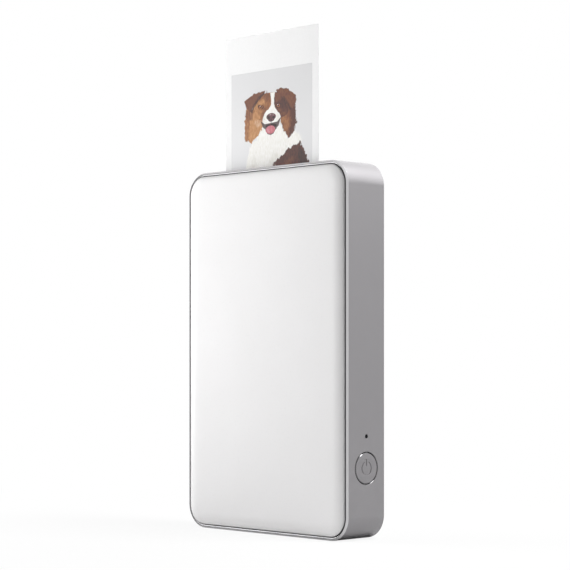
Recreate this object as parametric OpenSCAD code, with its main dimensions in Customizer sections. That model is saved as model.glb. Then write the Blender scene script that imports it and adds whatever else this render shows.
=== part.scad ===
// Pocket photo printer that stands on its short end and feeds 2 x 3 inch sheets out of the top.
// Frame: X across, Y front to back with the front at -Y, Z up, origin at the middle of the base.

/* [Body] */
// Height of the body
body_h = 136; // [135:1:146]
// Width of the body
body_w = 85.4; // [85:0.2:96]
// Depth of the silver side band
band_d = 19.8; // [19.6:0.2:23]
// Corner radius of the body's outline
corner_r = 8.8; // [7.8:0.2:10]
// Wall of the side band
band_wall = 1.1; // [1:0.1:1.3]
// Chamfer along the outer edges of the side band
band_chamfer = 0.7; // [0.4:0.1:0.8]
// Width of the flat that is left between that chamfer and the step beside a cover
rim_flat = 0.1; // [0.05:0.05:0.15]
// Depth of the step that opens the seam beside a cover
rim_step = 0.5; // [0.3:0.05:0.6]

/* [Covers] */
// How far the front and back covers stand proud of the side band
cover_rise = 0.9; // [0.7:0.1:1.2]
// Width of the rolled edge of a cover
roll_w = 5; // [4:0.5:6]
// Wall of the white front shell
shell_t = 1; // [0.9:0.1:1.1]
// Width of the skirt round the front shell
skirt_w = 1; // [0.9:0.1:1.2]
// Thickness of the liner behind the front shell
liner_t = 0.8; // [0.7:0.1:1]
// Height of the stiffening ribs on the liner
liner_rib_h = 0.5; // [0.3:0.05:0.6]
// Width of the stiffening ribs on the liner
liner_rib_w = 0.8; // [0.6:0.1:1.2]
// Seam between a cover and the side band
seam_gap = 0.4; // [0.35:0.05:0.5]
// How far a cover's edge starts below the rim of the side band
seam_drop = 0.2; // [0.1:0.05:0.3]

/* [Cover hinge] */
// Height of the hinge axis above the base
hinge_z = 9; // [8.9:0.1:9.4]
// Hinge axis behind the inner face of the liner
hinge_in = 0.5; // [0.4:0.1:0.6]
// Hinge pin diameter
hinge_pin_d = 1.2; // [1:0.1:1.3]
// Diameter of a hinge barrel
barrel_d = 2.4; // [2.2:0.1:2.4]
// Distance of a hinge from the middle of the body
hinge_x = 30.3; // [28:0.5:31]
// Width of the cover's hinge lug
lug_w = 4; // [3:0.5:5]
// Width of a fixed hinge ear
ear_w = 2; // [1.5:0.1:2.4]

/* [Magnetic latch] */
// Diameter of a latch magnet
magnet_d = 4; // [3:0.5:4.5]
// Thickness of a latch magnet in the body
magnet_t = 1.5; // [1.2:0.1:1.8]
// Distance of a latch magnet in from the sides and the top of the body
magnet_in = 6.3; // [6:0.1:7]

/* [Paper] */
// Width of a sheet
sheet_w = 50; // [48:0.5:51]
// Length of a sheet
sheet_h = 76.2; // [74:0.2:76.6]
// Thickness of a sheet
sheet_t = 0.28; // [0.2:0.02:0.3]
// Number of blank sheets in the tray
blank_count = 8; // [2:1:8]
// Paper path behind the inner face of the liner
path_in = 4.35; // [4.3:0.05:4.5]
// How far the print stands out of the top
print_out = 50.7; // [44:0.1:60]

/* [Tray] */
// Height of the tray's bottom edge above the base
tray_z = 16.9; // [16.6:0.1:17.2]
// Wall of the tray
tray_wall = 1; // [0.8:0.1:1.1]
// Thickness of the tray floor
floor_t = 1.15; // [0.9:0.05:1.2]
// Free space beside a sheet in the tray
tray_side = 0.35; // [0.25:0.05:0.5]
// Free space above the blank sheets
tray_top = 0.5; // [0.4:0.1:0.6]
// Diameter of the notch beside the tray that a thumb reaches in to lift the sheets
thumb_d = 14; // [10:1:16]
// Height of the notch's middle above the tray's bottom edge
thumb_z = 33; // [20:1:50]

/* [Chassis] */
// Wall of the chassis rim
rim_t = 1; // [0.8:0.1:1.1]
// Thickness of the front deck
deck_t = 1; // [0.8:0.1:1.2]
// Front deck behind the inner face of the liner
deck_in = 1.2; // [1.1:0.1:1.4]
// Thickness of the rear wall behind the print engine
rear_t = 0.9; // [0.8:0.1:0.9]
// Diameter of a board post
post_d = 3.6; // [3:0.2:4]
// Height of the deck's lower edge above the hinge axis
deck_rise = 1.7; // [1.6:0.1:2]

/* [Print engine] */
// Thickness of the engine frame's side plates
plate_t = 1; // [0.8:0.1:1]
// Thickness of the engine frame's rear web
web_t = 0.8; // [0.6:0.1:1]
// Free space between a sheet and a side plate
plate_side = 1.8; // [1.7:0.1:2]
// Platen roller diameter
platen_d = 8; // [7.6:0.1:8.4]
// Platen and pick roller shaft diameter
shaft_d = 3; // [2.5:0.1:3]
// Height of the platen axis below the top of the body
nip_drop = 14; // [13.5:0.1:14.2]
// Pick roller diameter
pick_d = 10; // [9.6:0.1:10.4]
// Width of one pick tyre
tyre_w = 8; // [6:0.5:9]
// Distance of a pick tyre from the middle of the sheet
tyre_x = 8.3; // [7:0.1:10]
// Outer diameter of a bushing
bush_d = 5; // [4.6:0.1:5.4]
// Thickness of a bushing's flange
flange_t = 0.5; // [0.4:0.1:0.6]

/* [Gears] */
// Module of every gear
gear_m = 0.5; // [0.48:0.01:0.5]
// Teeth of the motor pinion
pinion_teeth = 10; // [9:1:10]
// Teeth of an idler's large wheel
idler_teeth = 30; // [28:1:30]
// Teeth of an idler's small wheel
small_teeth = 12; // [11:1:12]
// Teeth of the platen gear
platen_teeth = 24; // [22:1:24]
// Teeth of the pick roller gear
pick_teeth = 30; // [28:1:30]
// Face width of a gear
gear_w = 2.8; // [2.2:0.1:2.9]
// Play between two teeth at the pitch circle
backlash = 0.08; // [0.06:0.01:0.1]
// Idler axes behind the platen axis
idler_back = 0.45; // [0.3:0.05:0.6]
// Motor axis behind the platen axis
motor_back = 1.95; // [1.9:0.05:2.2]
// Space between the side band and the outer gears
gear_bay = 4.8; // [4.4:0.1:4.9]
// Stud diameter of an idler
stud_d = 2; // [1.8:0.1:2.2]

/* [Motor] */
// Diameter of the motor can
motor_d = 12; // [11:0.1:12]
// Thickness of the motor can across its flats
motor_flat = 10; // [9:0.1:10]
// Length of the motor can
motor_len = 15; // [12:0.5:18]
// Motor shaft diameter
motor_shaft_d = 1.5; // [1:0.1:1.6]

/* [Thermal head] */
// Thickness of the head's ceramic strip
ceramic_t = 1; // [0.8:0.1:1.1]
// Height of the ceramic strip
ceramic_h = 8.4; // [8:0.1:9]
// Thickness of the head's heat sink
sink_t = 1.45; // [1.4:0.05:1.5]
// Height of the heat sink above the head's pivot
sink_h = 16; // [15.6:0.1:16.2]
// Head pivot below the platen axis
pivot_drop = 11; // [10.8:0.1:11.2]
// Diameter of the head's pivot pin
pivot_d = 1.2; // [1:0.1:1.3]
// Thickness of the engine's front cover
engine_cover_t = 0.4; // [0.3:0.05:0.45]

/* [Power button] */
// Height of the power button above the base
button_z = 25.9; // [25:0.1:30]
// Diameter of the power button
button_d = 11.2; // [10.8:0.1:11.8]
// Chamfer round the power button and round its hole
button_edge = 0.25; // [0.15:0.05:0.35]
// Height of the status light above the power button
light_rise = 11.4; // [11:0.1:12]
// Diameter of the status light
light_d = 1.4; // [1.1:0.1:1.6]
// Travel of the power button
button_travel = 0.4; // [0.3:0.05:0.4]

/* [Electronics] */
// Thickness of a circuit board
board_t = 0.8; // [0.6:0.1:1]
// Main board in front of the inner face of the back cover
board_back = 3.3; // [3.2:0.1:3.4]
// Width of the battery
battery_w = 44; // [38:0.5:44]
// Height of the battery
battery_h = 50; // [44:0.5:50]
// Gap from the battery's top up to the pick tyres
battery_gap = 3.7; // [3.2:0.1:4.2]
// Thickness of the battery
battery_t = 5; // [4:0.1:5.2]
// Width of the USB socket
usb_w = 8.94; // [8.9:0.01:9]
// Height of the USB socket
usb_h = 3.26; // [3.2:0.01:3.3]
// Length of the USB socket
usb_len = 7.3; // [6.8:0.1:7.6]

/* [Clearances] */
// Running clearance round a pin or shaft, on the radius
run_gap = 0.04; // [0.03:0.01:0.06]
// Clearance between pieces that are put in by hand
fit_gap = 0.1; // [0.05:0.05:0.15]
// Clearance between pieces that move past each other
move_gap = 0.3; // [0.2:0.05:0.35]
// Clearance between a sheet and what guides or rolls it
sheet_gap = 0.06; // [0.05:0.01:0.1]
// Clearance round the power button, on the radius
button_gap = 0.15; // [0.1:0.05:0.2]

/* [Hidden] */
$fn = 48;

// Depths, from the front
front_y = -band_d / 2;
shell_y = front_y - cover_rise;
shell_in_y = shell_y + shell_t;
liner_in_y = shell_in_y + liner_t;
deck_y = liner_in_y + deck_in;
path_y = liner_in_y + path_in;
path_front_y = path_y - sheet_t / 2;
path_back_y = path_y + sheet_t / 2;
stack_y = path_front_y - 0.11;
blank_pitch = sheet_t + 0.02;
floor_y = path_back_y + 0.16;
hinge_y = liner_in_y + hinge_in;
rim_y = liner_in_y + move_gap;

// Depths, from the back
back_in_y = -liner_in_y;
rear_y = back_in_y - rear_t;
web_y = rear_y - web_t;
board_y = back_in_y - board_back - board_t;

// Widths
inner_x = body_w / 2 - band_wall;
edge_in = band_wall + seam_gap;
rim_in = band_wall + rim_t;
outer_gear_x = -inner_x + gear_bay;
inner_gear_x = outer_gear_x + gear_w + 0.4;
left_plate_x = inner_gear_x + gear_w + 1.3;
sheet_x = left_plate_x + plate_t + plate_side + sheet_w / 2;
right_plate_x = sheet_x + sheet_w / 2 + plate_side;
tray_x = [sheet_x - sheet_w / 2 - tray_side, sheet_x + sheet_w / 2 + tray_side];

// Axes of the print engine as [y, z]
platen_at = [path_back_y + sheet_gap + platen_d / 2, body_h - nip_drop];
pick_y = path_back_y + 0.11 + pick_d / 2;
idler_y = platen_at[0] + idler_back;
motor_y = platen_at[0] + motor_back;
upper_at = [idler_y, platen_at[1] - drop(small_teeth, platen_teeth, idler_back)];
motor_at = [motor_y, upper_at[1] - drop(pinion_teeth, idler_teeth, motor_y - idler_y)];
lower_at = [idler_y, motor_at[1] - drop(pinion_teeth, idler_teeth, motor_y - idler_y)];
pick_at = [pick_y, lower_at[1] - drop(small_teeth, pick_teeth, pick_y - idler_y)];
head_at = [path_front_y - sheet_gap - ceramic_t - 0.65, platen_at[1] - pivot_drop];
sink_back_y = path_front_y - sheet_gap - ceramic_t;
sink_y = sink_back_y - sink_t;
engine_cover_y = sink_y - 1.1;
plate_z = [pick_at[1] - 4.8, platen_at[1] + 9];

// Heights
thumb_at = [tray_x[1], tray_z + thumb_z];
tray_top_z = tray_z + sheet_h + tray_top + 2.2;
floor_top_z = motor_at[1] - motor_d / 2 - move_gap;
blank_z = tray_z + fit_gap;
deck_z = hinge_z + deck_rise;
print_z = body_h + print_out - sheet_h;
battery_z = pick_at[1] - pick_d / 2 - battery_gap - battery_h;
hinge_at = [hinge_y, hinge_z];
magnet_at = [body_w / 2 - magnet_in, body_h - magnet_in];

// Board
port_y = board_y - usb_h / 2;
board_x = body_w / 2 - rim_in - 1.1;
board_z = 3.2;
board_top_z = battery_z + battery_h - 1;
column_x = right_plate_x + plate_t + 1.9;
column_mid = (column_x + board_x) / 2;
column_top_z = platen_at[1] - 4;
side_board_x = body_w / 2 - 6.1;
side_board_z = [button_z - 8.9, button_z + light_rise + 4.7];
switch_t = 1.5;
plunger_t = 0.4;
cap_t = 1.7;
cable_z = [platen_at[1] - 7.5, platen_at[1] - 0.5];

exit_w = sheet_w + 2.6;
exit_d = 2.2;
reset_x = 13;
reset_y = board_y - 0.85;
head_x = [left_plate_x + plate_t + 0.6, right_plate_x - 0.6];
switch_x = side_board_x + board_t + switch_t + plunger_t;
screw_d = 1.4;
web_screw_places = [
    for (x = [left_plate_x + 4.5, right_plate_x - 3.5], z = [plate_z[0] + 3.5, plate_z[1] - 3.5]) [x, z]
];
post_places = [
    [-board_x + 3, board_z + 12], [-board_x + 3, board_top_z - 5],
    [column_mid, battery_z + 30], [column_mid, column_top_z - 8]
];
leads_at = motor_at + [1, -3.6];
cover_screw_places = [
    for (x = [left_plate_x + 3, right_plate_x + plate_t - 3], z = [plate_z[0] + 27.3, plate_z[1] - 1.3]) [x, z]
];

white = [0.93, 0.93, 0.94];
silver = [0.66, 0.66, 0.67];
steel = [0.62, 0.63, 0.65];
black = [0.12, 0.12, 0.13];
gear_white = [0.9, 0.89, 0.84];
board_green = [0.08, 0.3, 0.2];
brass = [0.78, 0.62, 0.3];

// Height between two meshing gears' axes that lie dy apart front to back
function drop(teeth_a, teeth_b, dy) = sqrt(pow(gear_m * (teeth_a + teeth_b) / 2, 2) - dy * dy);
function heading(from, to) = atan2(to[1] - from[1], to[0] - from[0]);
function polar(r, a) = [r * cos(a), r * sin(a)];

// Phase that sets gear b's gap on gear a's tooth, with b in direction dir from a
function mesh_phase(a_teeth, a_phase, b_teeth, dir) =
    dir + 180 + 180 / b_teeth - (a_phase - dir) * a_teeth / b_teeth;

// Involute function in degrees, and half of a tooth's angle at radius r
function involute(base, r) = let (a = acos(min(1, base / r))) tan(a) * 180 / PI - a;
function half_tooth(teeth, r) =
    let (pitch = gear_m * teeth / 2, base = pitch * cos(20))
    90 / teeth - backlash * 90 / PI / pitch / 2 + involute(base, pitch) - involute(base, max(r, base));

upper_phase = mesh_phase(pinion_teeth, 0, idler_teeth, heading(motor_at, upper_at));
lower_phase = mesh_phase(pinion_teeth, 0, idler_teeth, heading(motor_at, lower_at));
platen_phase = mesh_phase(small_teeth, upper_phase, platen_teeth, heading(upper_at, platen_at));
pick_phase = mesh_phase(small_teeth, lower_phase, pick_teeth, heading(lower_at, pick_at));

// A block between two limits on each axis
module span(x, y, z) {
    translate([x[0], y[0], z[0]])
        cube([x[1] - x[0], y[1] - y[0], z[1] - z[0]]);
}

// A profile in Y and Z, laid from x[0] to x[1]
module along_x(x) {
    translate([x[0], 0, 0])
        rotate([90, 0, 90])
            linear_extrude(x[1] - x[0]) children();
}

// A profile in X and Z, laid from y[0] to y[1]
module along_y(y) {
    translate([0, y[1], 0])
        rotate([90, 0, 0])
            linear_extrude(y[1] - y[0]) children();
}

module x_rod(d, x, at) {
    along_x(x)
        translate(at) circle(d = d);
}

module y_rod(d, y, at) {
    along_y(y)
        translate(at) circle(d = d);
}

// Lays a profile round the body's outline; its x is how far it is in from the outside, negative, and its y the depth
module round_the_body() {
    translate([0, 0, body_h / 2])
        for (side = [0 : 3]) {
            reach = (side % 2 == 0 ? body_w : body_h) / 2;
            run = (side % 2 == 0 ? body_h : body_w) - 2 * corner_r;
            rotate([0, 90 * side, 0]) {
                translate([reach, 0, 0])
                    linear_extrude(run, center = true) children();
                translate([reach - corner_r, 0, -run / 2])
                    rotate([-90, 0, 0])
                        rotate_extrude(angle = 90)
                            translate([corner_r, 0]) children();
            }
        }
}

// The body's outline in X and Z, moved in
module outline(inset) {
    r = corner_r - inset;
    w = body_w / 2 - corner_r;
    translate([0, body_h / 2]) {
        square([2 * w, body_h - 2 * inset], center = true);
        square([body_w - 2 * inset, body_h - 2 * corner_r], center = true);
    }
    for (x = [-w, w], z = [corner_r, body_h - corner_r])
        translate([x, z]) circle(r);
}

// Cross-section of a cover from its edge to where the flat begins, for the front
module cover_profile(inner_y) {
    edge_y = front_y + seam_drop;
    steps = 12;
    rolled = [
        for (i = [0 : steps])
            [-edge_in - roll_w * (1 - cos(90 * i / steps)), edge_y + (shell_y - edge_y) * sin(90 * i / steps)]
    ];
    polygon(concat([[-edge_in, inner_y]], rolled, [[-corner_r, shell_y], [-corner_r, inner_y]]));
}

// A whole cover plate with rolled edges, solid down to inner_y
module cover_blank(inner_y) {
    round_the_body() cover_profile(inner_y);
    span([corner_r - body_w / 2, body_w / 2 - corner_r], [shell_y, inner_y], [corner_r, body_h - corner_r]);
}

module gear_outline(teeth, phase) {
    pitch = gear_m * teeth / 2;
    root = pitch - 1.2 * gear_m;
    tip = pitch + 0.85 * gear_m;
    low = max(root, pitch * cos(20));
    radii = [root, low, (2 * low + tip) / 3, (low + 2 * tip) / 3, tip];
    polygon([
        for (k = [0 : teeth - 1], side = [-1, 1], i = [0 : 4])
            let (r = radii[side < 0 ? i : 4 - i])
            polar(r, phase + k * 360 / teeth + side * half_tooth(teeth, r))
    ]);
}

module gear(teeth, phase, x, at) {
    along_x(x)
        translate(at) gear_outline(teeth, phase);
}

// A leaf of even thickness through points in Y and Z
module leaf(points, t, x) {
    back = [for (i = [len(points) - 1 : -1 : 0]) points[i] + [t, 0]];
    along_x(x) polygon(concat(points, back));
}

// A round-ended slot in X and Y, w long and h wide
module slot(w, h) {
    square([w - h, h], center = true);
    for (x = [(h - w) / 2, (w - h) / 2])
        translate([x, 0]) circle(d = h);
}

module side_band() {
    c = band_chamfer;
    wall = band_wall;
    color(silver)
        difference() {
            round_the_body()
                polygon([
                    [-wall, front_y + rim_step], [-c - rim_flat, front_y + rim_step],
                    [-c - rim_flat, front_y], [-c, front_y], [0, front_y + c],
                    [0, -front_y - c], [-c, -front_y], [-c - rim_flat, -front_y],
                    [-c - rim_flat, -front_y - rim_step], [-wall, -front_y - rim_step]
                ]);
            translate([0, 0, button_z]) rotate([0, 90, 0]) {
                cylinder(d = button_d + 2 * button_gap, h = body_w);
                translate([0, 0, body_w / 2 - button_edge])
                    cylinder(d1 = button_d + 2 * button_gap, d2 = button_d + 2 * button_gap + 2, h = 1);
            }
            translate([0, 0, button_z + light_rise]) rotate([0, 90, 0])
                cylinder(d = light_d + fit_gap, h = body_w);
            span([sheet_x - exit_w / 2, sheet_x + exit_w / 2], [path_y - exit_d / 2, path_y + exit_d / 2],
                [body_h / 2, body_h + 1]);
            translate([0, port_y, -1])
                linear_extrude(band_wall + 2) slot(usb_w + 2 * fit_gap, usb_h + 2 * fit_gap);
            translate([reset_x, reset_y, -1])
                cylinder(d = 1, h = band_wall + 2);
        }
}

module front_cover() {
    color(white)
        difference() {
            cover_blank(liner_in_y);
            along_y([shell_in_y, liner_in_y + 1]) outline(edge_in + skirt_w);
        }
}

module cover_liner() {
    color(black)
        difference() {
            union() {
                along_y([shell_in_y, liner_in_y]) outline(edge_in + skirt_w + fit_gap);
                liner_ribs();
                for (side = [-1, 1]) {
                    x = [side * hinge_x - lug_w / 2, side * hinge_x + lug_w / 2];
                    x_rod(barrel_d, x, hinge_at);
                    span(x, [liner_in_y - liner_t / 2, hinge_y], [hinge_z - barrel_d / 2, hinge_z + barrel_d / 2]);
                }
            }
            for (side = [-1, 1]) {
                x_rod(hinge_pin_d + 2 * run_gap, [side * hinge_x - lug_w, side * hinge_x + lug_w], hinge_at);
                translate([side * magnet_at[0], 0, 0])
                    y_rod(magnet_d, [shell_in_y - 1, liner_in_y + 1], [0, magnet_at[1]]);
                for (end = [-1, 1]) {
                    x = ear_x(side, end);
                    span([x[0] - move_gap, x[1] + move_gap], [shell_in_y - 1, liner_in_y + 1],
                        [hinge_z - barrel_d / 2 - 0.4, hinge_z + barrel_d / 2 + 0.4]);
                }
            }
        }
}

// Ribs on the inside of the cover, beside and below the press plate
module liner_ribs() {
    y = [liner_in_y - liner_t / 2, liner_in_y + liner_rib_h];
    x = magnet_at[0] - 6;
    z = [deck_z + 4, plate_z[0] + 12];
    half = liner_rib_w / 2;
    for (side = [-1, 1])
        span([side * x - half, side * x + half], y, z);
    for (level = [z[0], z[1] - liner_rib_w])
        span([-x, x], y, [level, level + liner_rib_w]);
}

// The limits in X of the fixed ear on one end of a lug
function ear_x(side, end) =
    let (near = side * hinge_x + end * (lug_w / 2 + move_gap), far = near + end * ear_w)
    [min(near, far), max(near, far)];

// Clips on the back cover that hook behind the chassis rim, or their room in the chassis
module back_clips(gap) {
    x = body_w / 2 - rim_in - 0.6;
    for (side = [-1, 1], part = [1 : 3])
        span([side * x - 0.4 - gap, side * x + 0.4 + gap], [back_in_y - 1.8 - gap, back_in_y + 0.5],
            [body_h * part / 4 - 3 - gap, body_h * part / 4 + 3 + gap]);
}

module back_cover() {
    color(white) {
        mirror([0, 1, 0]) cover_blank(liner_in_y);
        back_clips(0);
    }
}

module hinge_pins() {
    reach = lug_w / 2 + move_gap + ear_w;
    color(steel)
        for (side = [-1, 1])
            x_rod(hinge_pin_d, [side * hinge_x - reach, side * hinge_x + reach], hinge_at);
}

module magnets(y) {
    color(steel)
        for (side = [-1, 1])
            y_rod(magnet_d, y, [side * magnet_at[0], magnet_at[1]]);
}

module cover_magnets() {
    magnets([shell_in_y, liner_in_y]);
}

module frame_magnets() {
    magnets([liner_in_y + 0.2, liner_in_y + 0.2 + magnet_t]);
}

// Two sprung fingers that press the blank sheets on the pick tyres
module press_plate() {
    t = 0.25;
    base_z = tray_z + 10;
    tip_z = pick_at[1];
    front = stack_y - blank_count * blank_pitch - move_gap - t;
    wide = tyre_w + 2;
    color(steel) {
        for (side = [-1, 1])
            leaf([
                [liner_in_y, base_z], [liner_in_y, base_z + 14], [front - 0.2, tip_z - 3],
                [front, tip_z], [front - 0.2, tip_z + 3], [front - 0.9, tip_z + 6]
            ], t, [sheet_x + side * tyre_x - wide / 2, sheet_x + side * tyre_x + wide / 2]);
        span([sheet_x - tyre_x, sheet_x + tyre_x], [liner_in_y, liner_in_y + t], [base_z, base_z + 10]);
    }
}

// The moulded inner frame: rim, front deck, paper tray, hinge trough, rear wall, ribs and posts
module chassis() {
    bay_x = [-inner_x + rim_t, right_plate_x + plate_t + move_gap];
    bay_z = [pick_at[1] - gear_m * pick_teeth / 2 - 1.5, body_h - rim_in];
    tray_out = [tray_x[0] - tray_wall, tray_x[1] + tray_wall];
    swing = norm([hinge_z - edge_in, hinge_y - front_y - seam_drop]);
    trough_y = hinge_y + swing + move_gap;
    color(black)
        difference() {
            union() {
                difference() {
                    union() {
                        chassis_shell(bay_x, bay_z, trough_y);
                        y_rod(thumb_d + 2 * tray_wall, [deck_y, floor_y + floor_t], thumb_at);
                    }
                    span(tray_x, [-band_d, floor_y + floor_t + 1], [tray_z, tray_top_z]);
                    span([tray_out[1], bay_x[1]], [-band_d, deck_y + deck_t], [plate_z[0] - 0.5, body_h - rim_in]);
                    y_rod(thumb_d, [-band_d, floor_y], thumb_at);
                }
                difference() {
                    chassis_tray(tray_out);
                    y_rod(thumb_d, [-band_d, floor_y], thumb_at);
                }
                chassis_ribs();
                chassis_posts();
            }
            chassis_holes();
        }
}

// Rim against the side band, front deck, rear wall and the trough that the cover's edge swings in
module chassis_shell(bay_x, bay_z, trough_y) {
    difference() {
        union() {
            round_the_body()
                polygon([
                    [-rim_in, rim_y], [-band_wall, rim_y],
                    [-band_wall, back_in_y - move_gap], [-rim_in, back_in_y - move_gap]
                ]);
            intersection() {
                union() {
                    span([-body_w, body_w], [deck_y, deck_y + deck_t], [deck_z, body_h]);
                    span([left_plate_x - 0.5, body_w], [rear_y, back_in_y], [plate_z[0] - 3, body_h]);
                    span([-body_w, body_w], [deck_y, trough_y + tray_wall], [deck_z, deck_z + tray_wall]);
                    span([-body_w, body_w], [trough_y, trough_y + tray_wall], [0, deck_z + tray_wall]);
                }
                along_y([-band_d, band_d]) outline(band_wall + rim_t / 2);
            }
        }
        span([-body_w, body_w], [-band_d, trough_y], [0, deck_z]);
        span(bay_x, [-band_d, deck_y + 5], bay_z);
    }
    for (side = [-1, 1]) {
        x = side * (magnet_at[0] + 0.6);
        intersection() {
            span([x - 3.4, x + 3.4], [deck_y, deck_y + deck_t], [magnet_at[1] - 3.3, body_h]);
            along_y([-band_d, band_d]) outline(band_wall + rim_t / 2);
        }
        translate([side * magnet_at[0], 0, 0])
            y_rod(magnet_d + 1.6, [liner_in_y + 0.2, liner_in_y + 1 + magnet_t], [0, magnet_at[1]]);
    }
}

module chassis_tray(out) {
    span([out[0], tray_x[0]], [deck_y, floor_y], [tray_z - tray_wall, tray_top_z]);
    span([tray_x[1], out[1]], [deck_y, floor_y], [tray_z - tray_wall, tray_top_z]);
    span(out, [deck_y, floor_y], [tray_z - tray_wall, tray_z]);
    span(out, [floor_y, floor_y + floor_t], [tray_z - tray_wall, floor_top_z]);
    // The wall in front of the battery, which the sides of its bay stand on
    bay_x = battery_w / 2 + fit_gap + 1;
    span([-bay_x, bay_x], [floor_y, floor_y + floor_t], [battery_z - 1.1, battery_z + battery_h]);
    // The lip that the blank sheets' top edges face, in front of the paper path
    span(out, [deck_y, path_front_y - 0.4], [tray_top_z - 1.2, tray_top_z]);
}

module chassis_ribs() {
    // Hinge ears
    for (side = [-1, 1], end = [-1, 1]) {
        x = ear_x(side, end);
        x_rod(barrel_d, x, hinge_at);
        span(x, [hinge_y, deck_y + deck_t], [hinge_z, deck_z + 0.5]);
    }
    // Battery bay
    back = floor_y + floor_t;
    x = battery_w / 2 + fit_gap;
    top = battery_z + battery_h + fit_gap;
    for (side = [-1, 1])
        span([side * (x + 0.5) - 0.5, side * (x + 0.5) + 0.5], [back - 0.2, back + 3], [battery_z + 6, top - 6]);
    span([-x, x], [back - 0.2, back + 2], [battery_z - 1.1, battery_z - fit_gap]);
    span([-x, x], [back - 0.2, back + 2], [top, top + 1]);
    // Ends of the side board
    for (z = [side_board_z[0] - fit_gap - 1.2, side_board_z[1] + fit_gap])
        span([side_board_x - 1, body_w / 2 - rim_in + 0.2], [deck_y + 0.5, 4.2], [z, z + 1.2]);
}

module chassis_posts() {
    for (at = post_places)
        y_rod(post_d, [deck_y + 0.5, board_y], at);
}

module chassis_holes() {
    x_rod(hinge_pin_d, [-body_w / 2 + 4, body_w / 2 - 4], hinge_at);
    for (side = [-1, 1])
        translate([side * magnet_at[0], 0, 0])
            y_rod(magnet_d, [liner_in_y, liner_in_y + 0.2 + magnet_t], [0, magnet_at[1]]);
    // Windows for the pick tyres and their shaft's side
    for (side = [-1, 1])
        span([sheet_x + side * tyre_x - tyre_w / 2 - 0.6, sheet_x + side * tyre_x + tyre_w / 2 + 0.6],
            [floor_y - 1, floor_y + floor_t + 1], [pick_at[1] - pick_d / 2, pick_at[1] + pick_d / 2]);
    // Button and light, with the side board's room
    span([body_w / 2 - rim_in - 0.1, body_w], [-6.9, 6.9], [side_board_z[0], side_board_z[1]]);
    // Paper exit with the exit guide's flange
    span([sheet_x - exit_w / 2 - 1.4, sheet_x + exit_w / 2 + 1.4], [path_y - 2.6, path_y + 2.6],
        [body_h - rim_in - 1, body_h]);
    // USB socket and reset switch
    translate([0, port_y, 0])
        linear_extrude(rim_in + 1) slot(usb_w + 1, usb_h + 1);
    translate([reset_x, reset_y, 0])
        cylinder(d = 2, h = rim_in + 1);
    // Screws of the engine frame and of the main board
    for (at = web_screw_places) {
        y_rod(1.8, [rear_y - 1, back_in_y + 1], at);
        y_rod(3, [back_in_y - 0.5, back_in_y + 1], at);
    }
    for (at = post_places)
        y_rod(screw_d, [board_y - 5, board_y + 1], at);
    back_clips(fit_gap);
}

module paper_stack() {
    color(white)
        for (i = [0 : blank_count - 1])
            span([sheet_x - sheet_w / 2, sheet_x + sheet_w / 2],
                [stack_y - i * blank_pitch - sheet_t, stack_y - i * blank_pitch], [blank_z, blank_z + sheet_h]);
}

module separation_pad() {
    top = tray_top_z - 1.2;
    color([0.45, 0.3, 0.2])
        span([sheet_x - 6, sheet_x + 6], [stack_y - 2.2, path_front_y - 0.4], [top - 1, top]);
}

module print_sheet() {
    color(white)
        span([sheet_x - sheet_w / 2, sheet_x + sheet_w / 2], [path_front_y, path_back_y], [print_z, print_z + sheet_h]);
}

module exit_guide() {
    w = exit_w - 2 * fit_gap;
    d = exit_d - 2 * fit_gap;
    z = body_h - band_wall;
    color(black)
        difference() {
            union() {
                translate([sheet_x, path_y, z - 2.4])
                    linear_extrude(band_wall + 2.3) square([w, d], center = true);
                translate([sheet_x, path_y, z - 1])
                    linear_extrude(1) square([w + 2, d + 2], center = true);
            }
            translate([sheet_x, path_y, z - 3])
                linear_extrude(band_wall + 4) square([sheet_w + 1, 1], center = true);
        }
}

// Bent steel frame: two side plates, a rear web and four front tabs
module engine_frame() {
    y = [path_front_y - 2.2, rear_y];
    ear_y = engine_cover_y + engine_cover_t;
    color(steel)
        difference() {
            union() {
                for (x = [left_plate_x, right_plate_x])
                    along_x([x, x + plate_t]) {
                        translate([y[0], plate_z[0]])
                            square([y[1] - y[0], plate_z[1] - plate_z[0]]);
                        translate([head_at[0], head_at[1]]) circle(d = pivot_d + 1.8);
                    }
                for (z = [plate_z[0] + 26, plate_z[1] - 2.6], end = [0, 1]) {
                    x = end == 0 ? left_plate_x : right_plate_x + plate_t - 5;
                    span([x, x + 5], [ear_y, ear_y + 0.8], [z, z + 2.6]);
                    span([end == 0 ? x : x + 5 - plate_t, end == 0 ? x + plate_t : x + 5], [ear_y, y[0] + 1],
                        [z, z + 2.6]);
                }
                span([left_plate_x, right_plate_x + plate_t], [web_y, rear_y], plate_z);
            }
            span([left_plate_x + 9, right_plate_x - 8], [web_y - 1, rear_y + 1], [plate_z[0] + 6, plate_z[1] - 6]);
            for (at = [platen_at, pick_at])
                x_rod(bush_d, [left_plate_x - 1, right_plate_x + plate_t + 1], at);
            x_rod(pivot_d, [left_plate_x - 1, right_plate_x + plate_t + 1], head_at);
            x_rod(4.1, [left_plate_x - 1, left_plate_x + plate_t + 1], motor_at);
            for (at = [upper_at, lower_at])
                x_rod(stud_d, [left_plate_x - 1, left_plate_x + plate_t + 1], at);
            for (z = [-1, 1])
                x_rod(1.6, [left_plate_x - 1, left_plate_x + plate_t + 1], motor_at + [0, z * 4.3]);
            // Ways for the head's cable and the motor's leads through the right side plate
            span([right_plate_x - 1, right_plate_x + plate_t + 1], [y[0] - 1, y[0] + 2.2],
                [cable_z[0] - 0.6, cable_z[1] + 0.6]);
            x_rod(3.4, [right_plate_x - 1, right_plate_x + plate_t + 1], leads_at);
            for (at = web_screw_places)
                y_rod(screw_d, [web_y - 1, rear_y + 1], at);
            for (at = cover_screw_places)
                y_rod(screw_d, [ear_y - 1, ear_y + 1], at);
        }
}

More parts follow.
